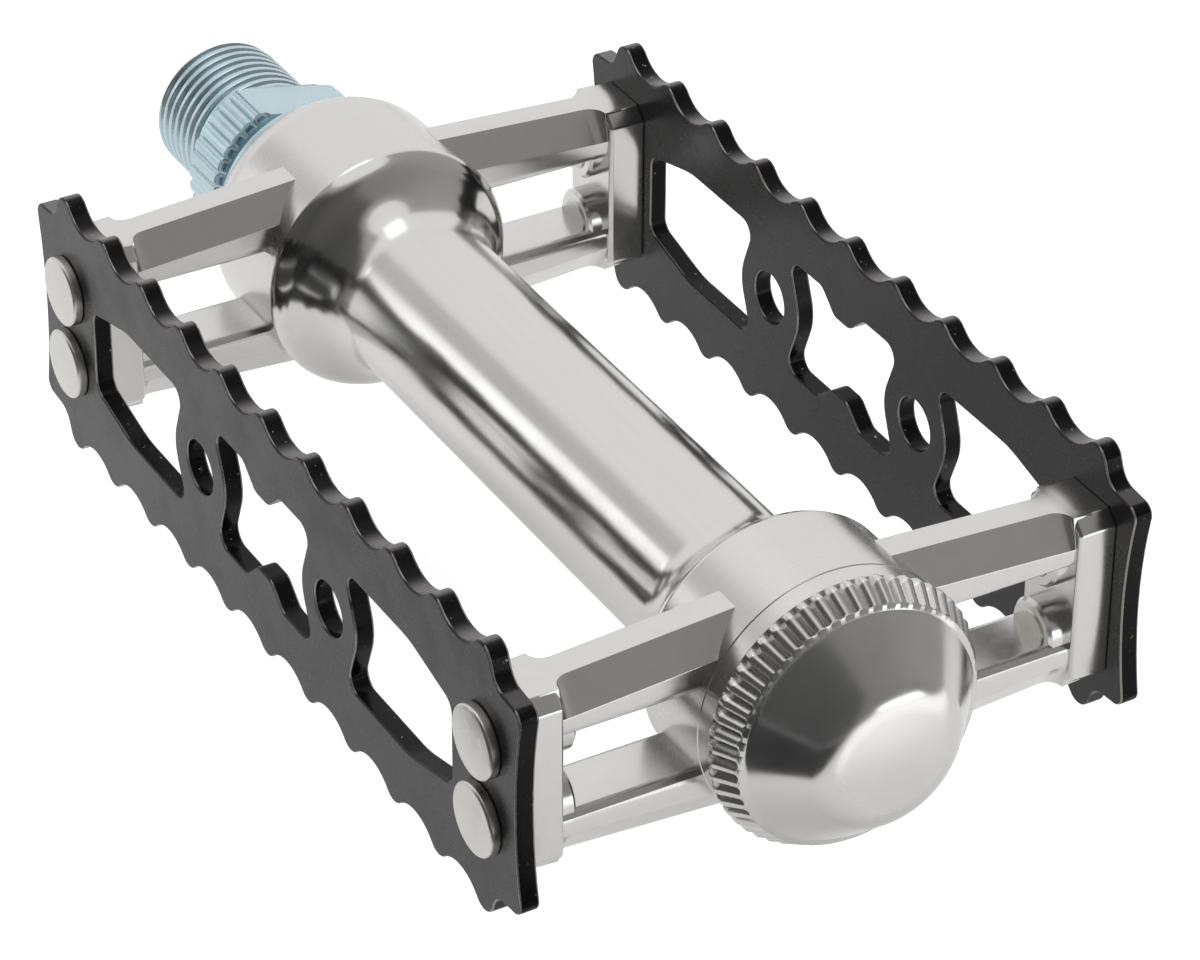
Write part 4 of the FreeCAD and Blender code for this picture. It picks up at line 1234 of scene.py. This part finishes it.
def new_group(name, inputs, outputs):
    """A shader node group with named sockets: returns it, its board and its two ends."""
    group = bpy.data.node_groups.new(name, "ShaderNodeTree")
    for label, default in inputs.items():
        socket = group.interface.new_socket(
            name=label, in_out="INPUT", socket_type="NodeSocketFloat"
        )
        socket.default_value = default
    for label in outputs:
        group.interface.new_socket(name=label, in_out="OUTPUT", socket_type="NodeSocketFloat")
    board = Board(group)
    given = board.add("NodeGroupInput").outputs
    result = board.add("NodeGroupOutput").inputs
    return group, board, given, result


def handled_metal():
    """Shared group: blotchy sheen and fine grain of handled metal."""
    known = bpy.data.node_groups.get("handled_metal")
    if known:
        return known
    inputs = {"Blotch Scale": 120.0, "Grain Scale": 2500.0, "Low": 0.2, "High": 0.3}
    group, board, given, result = new_group(
        "handled_metal", inputs, ("Roughness", "Grain", "Blotch")
    )
    place = board.place("Object")
    blotch = board.noise(place, given["Blotch Scale"], detail=5, roughness=0.62)
    grain = board.noise(place, given["Grain Scale"], detail=3, roughness=0.5)
    grain_share = 0.25
    blend = board.maths("MULTIPLY_ADD", grain, grain_share, blotch)
    span = {
        "From Min": 0.45,
        "From Max": 0.8,
        "To Min": given["Low"],
        "To Max": given["High"],
        "Value": blend,
    }
    rough = board.add("ShaderNodeMapRange", span).outputs["Result"]
    board.feed(result["Roughness"], rough)
    board.feed(result["Grain"], grain)
    board.feed(result["Blotch"], blotch)
    return group


def turned_rings():
    """Shared group: lathe rings about the spindle, and the distance from its axis."""
    known = bpy.data.node_groups.get("turned_rings")
    if known:
        return known
    group, board, given, result = new_group(
        "turned_rings", {"Scale": 3000.0}, ("Rings", "Radius")
    )
    parts = board.split(board.place("Object"))
    across = board.maths("MULTIPLY", parts["Y"], parts["Y"])
    square = board.maths("MULTIPLY_ADD", parts["Z"], parts["Z"], across)
    radius = board.maths("SQRT", square)
    ring = board.add("ShaderNodeCombineXYZ", {"X": parts["X"], "Y": radius})
    board.feed(result["Rings"], board.noise(ring.outputs[0], given["Scale"], detail=4, roughness=0.7))
    board.feed(result["Radius"], radius)
    return group


def metal(name, blotch, grain, smooth, rough):
    """A metal with handled roughness: returns it, its board, its shader and the handling."""
    material = bpy.data.materials.new(name)
    board = blank_board(material)
    shader = board.add("ShaderNodeBsdfPrincipled", {"Metallic": 1})
    board.add("ShaderNodeOutputMaterial", {"Surface": shader.outputs[0]})
    inputs = {"Blotch Scale": blotch, "Grain Scale": grain, "Low": smooth, "High": rough}
    handled = board.add("ShaderNodeGroup", node_tree=handled_metal())
    for label, value in inputs.items():
        board.feed(handled.inputs[label], value)
    return material, board, shader, handled.outputs


def rings_on(board, scale):
    """Lathe rings in a material, at their own scale."""
    return board.add("ShaderNodeGroup", {"Scale": scale}, node_tree=turned_rings()).outputs


def cloud(board, shader, handled, tone, darker, lighter):
    """Colour a shader with a tone that handling has clouded."""
    cloudy = board.mix(handled["Blotch"], shaded(tone, darker), shaded(tone, lighter))
    board.feed(shader.inputs["Base Color"], cloudy)


def zinc_plate(context):
    """Blue-white zinc over turned steel, cloudier where it was handled."""
    tone = context.scene.pedal_finishes.zinc
    material, board, shader, handled = metal(
        "zinc_plate", blotch=260, grain=4000, smooth=0.2, rough=0.34
    )
    cloud(board, shader, handled, tone, darker=0.82, lighter=1.12)
    board.feed(shader.inputs["Roughness"], handled["Roughness"])
    rings = rings_on(board, scale=2600)["Rings"]
    ring_share = 0.5
    height = board.maths("MULTIPLY_ADD", rings, ring_share, handled["Grain"])
    board.bump(shader, height, strength=0.06, distance=0.02 * MM)
    return material


def satin_aluminium(context):
    """Cast aluminium: turned bosses, a drawn polish on the tube, satin arms."""
    tone = context.scene.pedal_finishes.aluminium
    sizes = context.scene.pedal_body
    boss = sizes.boss_radius
    tube = sizes.tube_radius
    inboard = sizes.inboard_arm + sizes.shoulder_inset
    outboard = sizes.outboard_arm - sizes.shoulder_inset
    edge = 0.2 * MM
    satin_rough = 0.2
    tube_shine = 0.07
    dome_shine = 0.05
    arm_shine = 0.04
    line_rough = 0.06
    material, board, shader, handled = metal(
        "satin_aluminium", blotch=90, grain=2600, smooth=0.0, rough=0.06
    )
    rings = rings_on(board, scale=2200)
    place = board.place("Object")
    station = board.split(place)["X"]
    past_first = board.ramp(station, inboard, inboard + edge)
    past_second = board.ramp(station, outboard - edge, outboard)
    between = board.maths("SUBTRACT", past_first, past_second)
    on_arm = board.ramp(rings["Radius"], boss + 0.1 * MM, boss + 0.5 * MM)
    dome = board.ramp(rings["Radius"], tube + 0.6 * MM, tube + 2.2 * MM)
    drawn = board.add("ShaderNodeMapping", {"Vector": place, "Scale": (0.03, 1, 1)})
    streaks = board.noise(drawn.outputs[0], scale=2600, detail=4, roughness=0.65)
    mottle = board.noise(place, scale=900, detail=4, roughness=0.6)
    turned = board.mix(between, rings["Rings"], streaks, "FLOAT")
    surface = board.mix(on_arm, turned, mottle, "FLOAT")
    speckled = board.mix(surface, shaded(tone, 0.96), shaded(tone, 1.04))
    board.feed(shader.inputs["Base Color"], speckled)
    shine = board.maths("MULTIPLY_ADD", dome, -dome_shine, -tube_shine)
    satin = board.maths("MULTIPLY_ADD", between, shine, satin_rough)
    cast = board.maths("MULTIPLY_ADD", on_arm, -arm_shine, satin)
    lined = board.maths("MULTIPLY_ADD", surface, line_rough, cast)
    rough = board.maths("ADD", lined, handled["Roughness"])
    board.feed(shader.inputs["Roughness"], rough)
    board.bump(shader, surface, strength=0.035, distance=0.03 * MM)
    return material


def polished_cap(context):
    """Pressed cap: polished dome, satin crown with turning rings, duller band."""
    tone = context.scene.pedal_finishes.cap
    sizes = context.scene.pedal_cap
    edge = sizes.shoulder_radius
    foot = sizes.rim_radius + 0.2 * MM
    crown_rough = 0.14
    ring_rough = 0.1
    band_rough = 0.1
    material, board, shader, handled = metal(
        "polished_cap", blotch=200, grain=2600, smooth=0.1, rough=0.18
    )
    cloud(board, shader, handled, tone, darker=0.92, lighter=1.06)
    rings = rings_on(board, scale=2800)
    crown = board.ramp(rings["Radius"], edge + 0.6 * MM, edge - 2.4 * MM)
    band = board.ramp(rings["Radius"], foot, foot + 0.4 * MM)
    satin = board.maths("MULTIPLY_ADD", crown, crown_rough, handled["Roughness"])
    ringed = board.maths("MULTIPLY_ADD", rings["Rings"], ring_rough, satin)
    rough = board.maths("MULTIPLY_ADD", band, band_rough, ringed)
    board.feed(shader.inputs["Roughness"], rough)
    board.bump(shader, rings["Rings"], strength=0.06, distance=0.03 * MM)
    return material


def plate_coating(context):
    """Black stamped steel: satin faces, with bare steel on the rounded edges that face +X, partly
    wear and partly painted highlight.
    """
    finishes = context.scene.pedal_finishes
    black = finishes.black
    material, board, shader, handled = metal(
        "plate_coating", blotch=160, grain=3500, smooth=0.2, rough=0.34
    )
    shader.inputs["Specular IOR Level"].default_value = 0.29
    normal = board.split(board.place("Normal"))
    facing = board.maths("ABSOLUTE", normal["Y"])
    rounded = board.ramp(facing, 0.97, 0.85)
    # Painted highlight and wear: bare steel goes only on rounded edges facing +X, standing in for the
    # light lines those edges show, in patches from the blotch
    painted_highlight_side = board.ramp(normal["X"], 0.15, 0.4)
    rubbed = board.ramp(handled["Blotch"], 0.3, 0.5)
    worn = board.maths("MULTIPLY", rounded, painted_highlight_side)
    bare = board.maths("MULTIPLY", worn, rubbed)
    cloudy = board.mix(handled["Blotch"], shaded(black, 0.7), shaded(black, 1.3))
    bare_and_highlight_metal = 0.8
    tone = board.mix(bare, cloudy, shaded(finishes.bare_edge, 1))
    board.feed(shader.inputs["Base Color"], tone)
    board.feed(shader.inputs["Metallic"], board.maths("MULTIPLY", bare, bare_and_highlight_metal))
    board.feed(shader.inputs["Roughness"], handled["Roughness"])
    board.bump(shader, handled["Grain"], strength=0.1, distance=0.03 * MM)
    return material


def plate_cut_edge(context):
    """Sheared edges of the plates: deep black and bright specks, with painted light: the tooth flanks
    that face -X are painted a lighter grey, as if lit.
    """
    finishes = context.scene.pedal_finishes
    black = finishes.black
    material, board, shader, handled = metal(
        "plate_cut_edge", blotch=300, grain=3500, smooth=0.12, rough=0.3
    )
    shader.inputs["Specular IOR Level"].default_value = 0.1
    speck_metal = 0.5
    speck_height = 2.0
    # dust: how many times lighter than black the -X tooth flanks are painted, as painted light
    dust = 14
    tooth_foot = 9.5 * MM
    tooth_side = 10.3 * MM
    place = board.place("Object")
    specks = board.noise(place, scale=1500, detail=3, roughness=0.7)
    speck = board.ramp(specks, 0.66, 0.74)
    # Painted light: sheared tooth flanks out in the teeth that lean towards -X are painted a lighter
    # grey, as if lit; hollow marks them
    leaning = board.ramp(board.split(board.place("Normal"))["X"], 0.3, -0.15)
    height_off = board.maths("ABSOLUTE", board.split(place)["Z"])
    toothed = board.ramp(height_off, tooth_foot, tooth_side)
    hollow = board.maths("MULTIPLY", leaning, toothed)
    painted_lit_flanks = board.mix(hollow, shaded(black, 0.6), shaded(black, dust))
    tone = board.mix(speck, painted_lit_flanks, shaded(finishes.bare_edge, 1))
    board.feed(shader.inputs["Base Color"], tone)
    board.feed(shader.inputs["Metallic"], board.maths("MULTIPLY", speck, speck_metal))
    board.feed(shader.inputs["Roughness"], handled["Roughness"])
    height = board.maths("MULTIPLY_ADD", specks, speck_height, handled["Grain"])
    board.bump(shader, height, strength=0.2, distance=0.03 * MM)
    return material


def rivet_plating(context):
    """Plated rivet steel, dulled by the setting tool."""
    tone = context.scene.pedal_finishes.rivet
    material, board, shader, handled = metal(
        "rivet_plating", blotch=420, grain=3200, smooth=0.26, rough=0.42
    )
    cloud(board, shader, handled, tone, darker=0.85, lighter=1.1)
    board.feed(shader.inputs["Roughness"], handled["Roughness"])
    board.bump(shader, handled["Grain"], strength=0.12, distance=0.02 * MM)
    return material


def bearing_steel(context):
    """Ground and hardened steel of the bearings."""
    tone = context.scene.pedal_finishes.bearing
    material, board, shader, handled = metal(
        "bearing_steel", blotch=200, grain=3000, smooth=0.14, rough=0.26
    )
    cloud(board, shader, handled, tone, darker=0.9, lighter=1.08)
    board.feed(shader.inputs["Roughness"], handled["Roughness"])
    board.bump(shader, handled["Grain"], strength=0.06, distance=0.01 * MM)
    return material


class PEDAL_PT_panel(bpy.types.Panel):
    """Sizes, finishes and building steps of the cage pedal"""

    bl_idname = "PEDAL_PT_panel"
    bl_label = "Cage Pedal"
    bl_space_type = "VIEW_3D"
    bl_region_type = "UI"
    bl_category = "Pedal"

    def draw(self, context):
        for step in OPERATORS:
            self.layout.operator(step.bl_idname)
        for label, group in GROUPS.items():
            box = self.layout.box()
            settings = getattr(context.scene, label)
            for name in group.__annotations__:
                box.prop(settings, name)


GROUPS = {
    "pedal_spindle": SpindleSizes,
    "pedal_body": BodySizes,
    "pedal_cap": CapSizes,
    "pedal_plates": PlateSizes,
    "pedal_finishes": PedalFinishes,
    "pedal_studio": StudioSettings,
}
OPERATORS = (
    PEDAL_OT_spindle,
    PEDAL_OT_body,
    PEDAL_OT_cage_plates,
    PEDAL_OT_rivets,
    PEDAL_OT_dust_cap,
    PEDAL_OT_bearings,
    PEDAL_OT_studio,
)


def register():
    for group in GROUPS.values():
        bpy.utils.register_class(group)
    for step in OPERATORS:
        bpy.utils.register_class(step)
    bpy.utils.register_class(PEDAL_PT_panel)
    for label, group in GROUPS.items():
        setattr(bpy.types.Scene, label, PointerProperty(type=group))


def unregister():
    for label in GROUPS:
        delattr(bpy.types.Scene, label)
    bpy.utils.unregister_class(PEDAL_PT_panel)
    for step in reversed(OPERATORS):
        bpy.utils.unregister_class(step)
    for group in reversed(GROUPS.values()):
        bpy.utils.unregister_class(group)


def main():
    register()
    bpy.ops.pedal.spindle()
    bpy.ops.pedal.body()
    bpy.ops.pedal.cage_plates()
    bpy.ops.pedal.rivets()
    bpy.ops.pedal.dust_cap()
    bpy.ops.pedal.bearings()
    bpy.ops.pedal.studio()


if __name__ == "__main__":
    main()
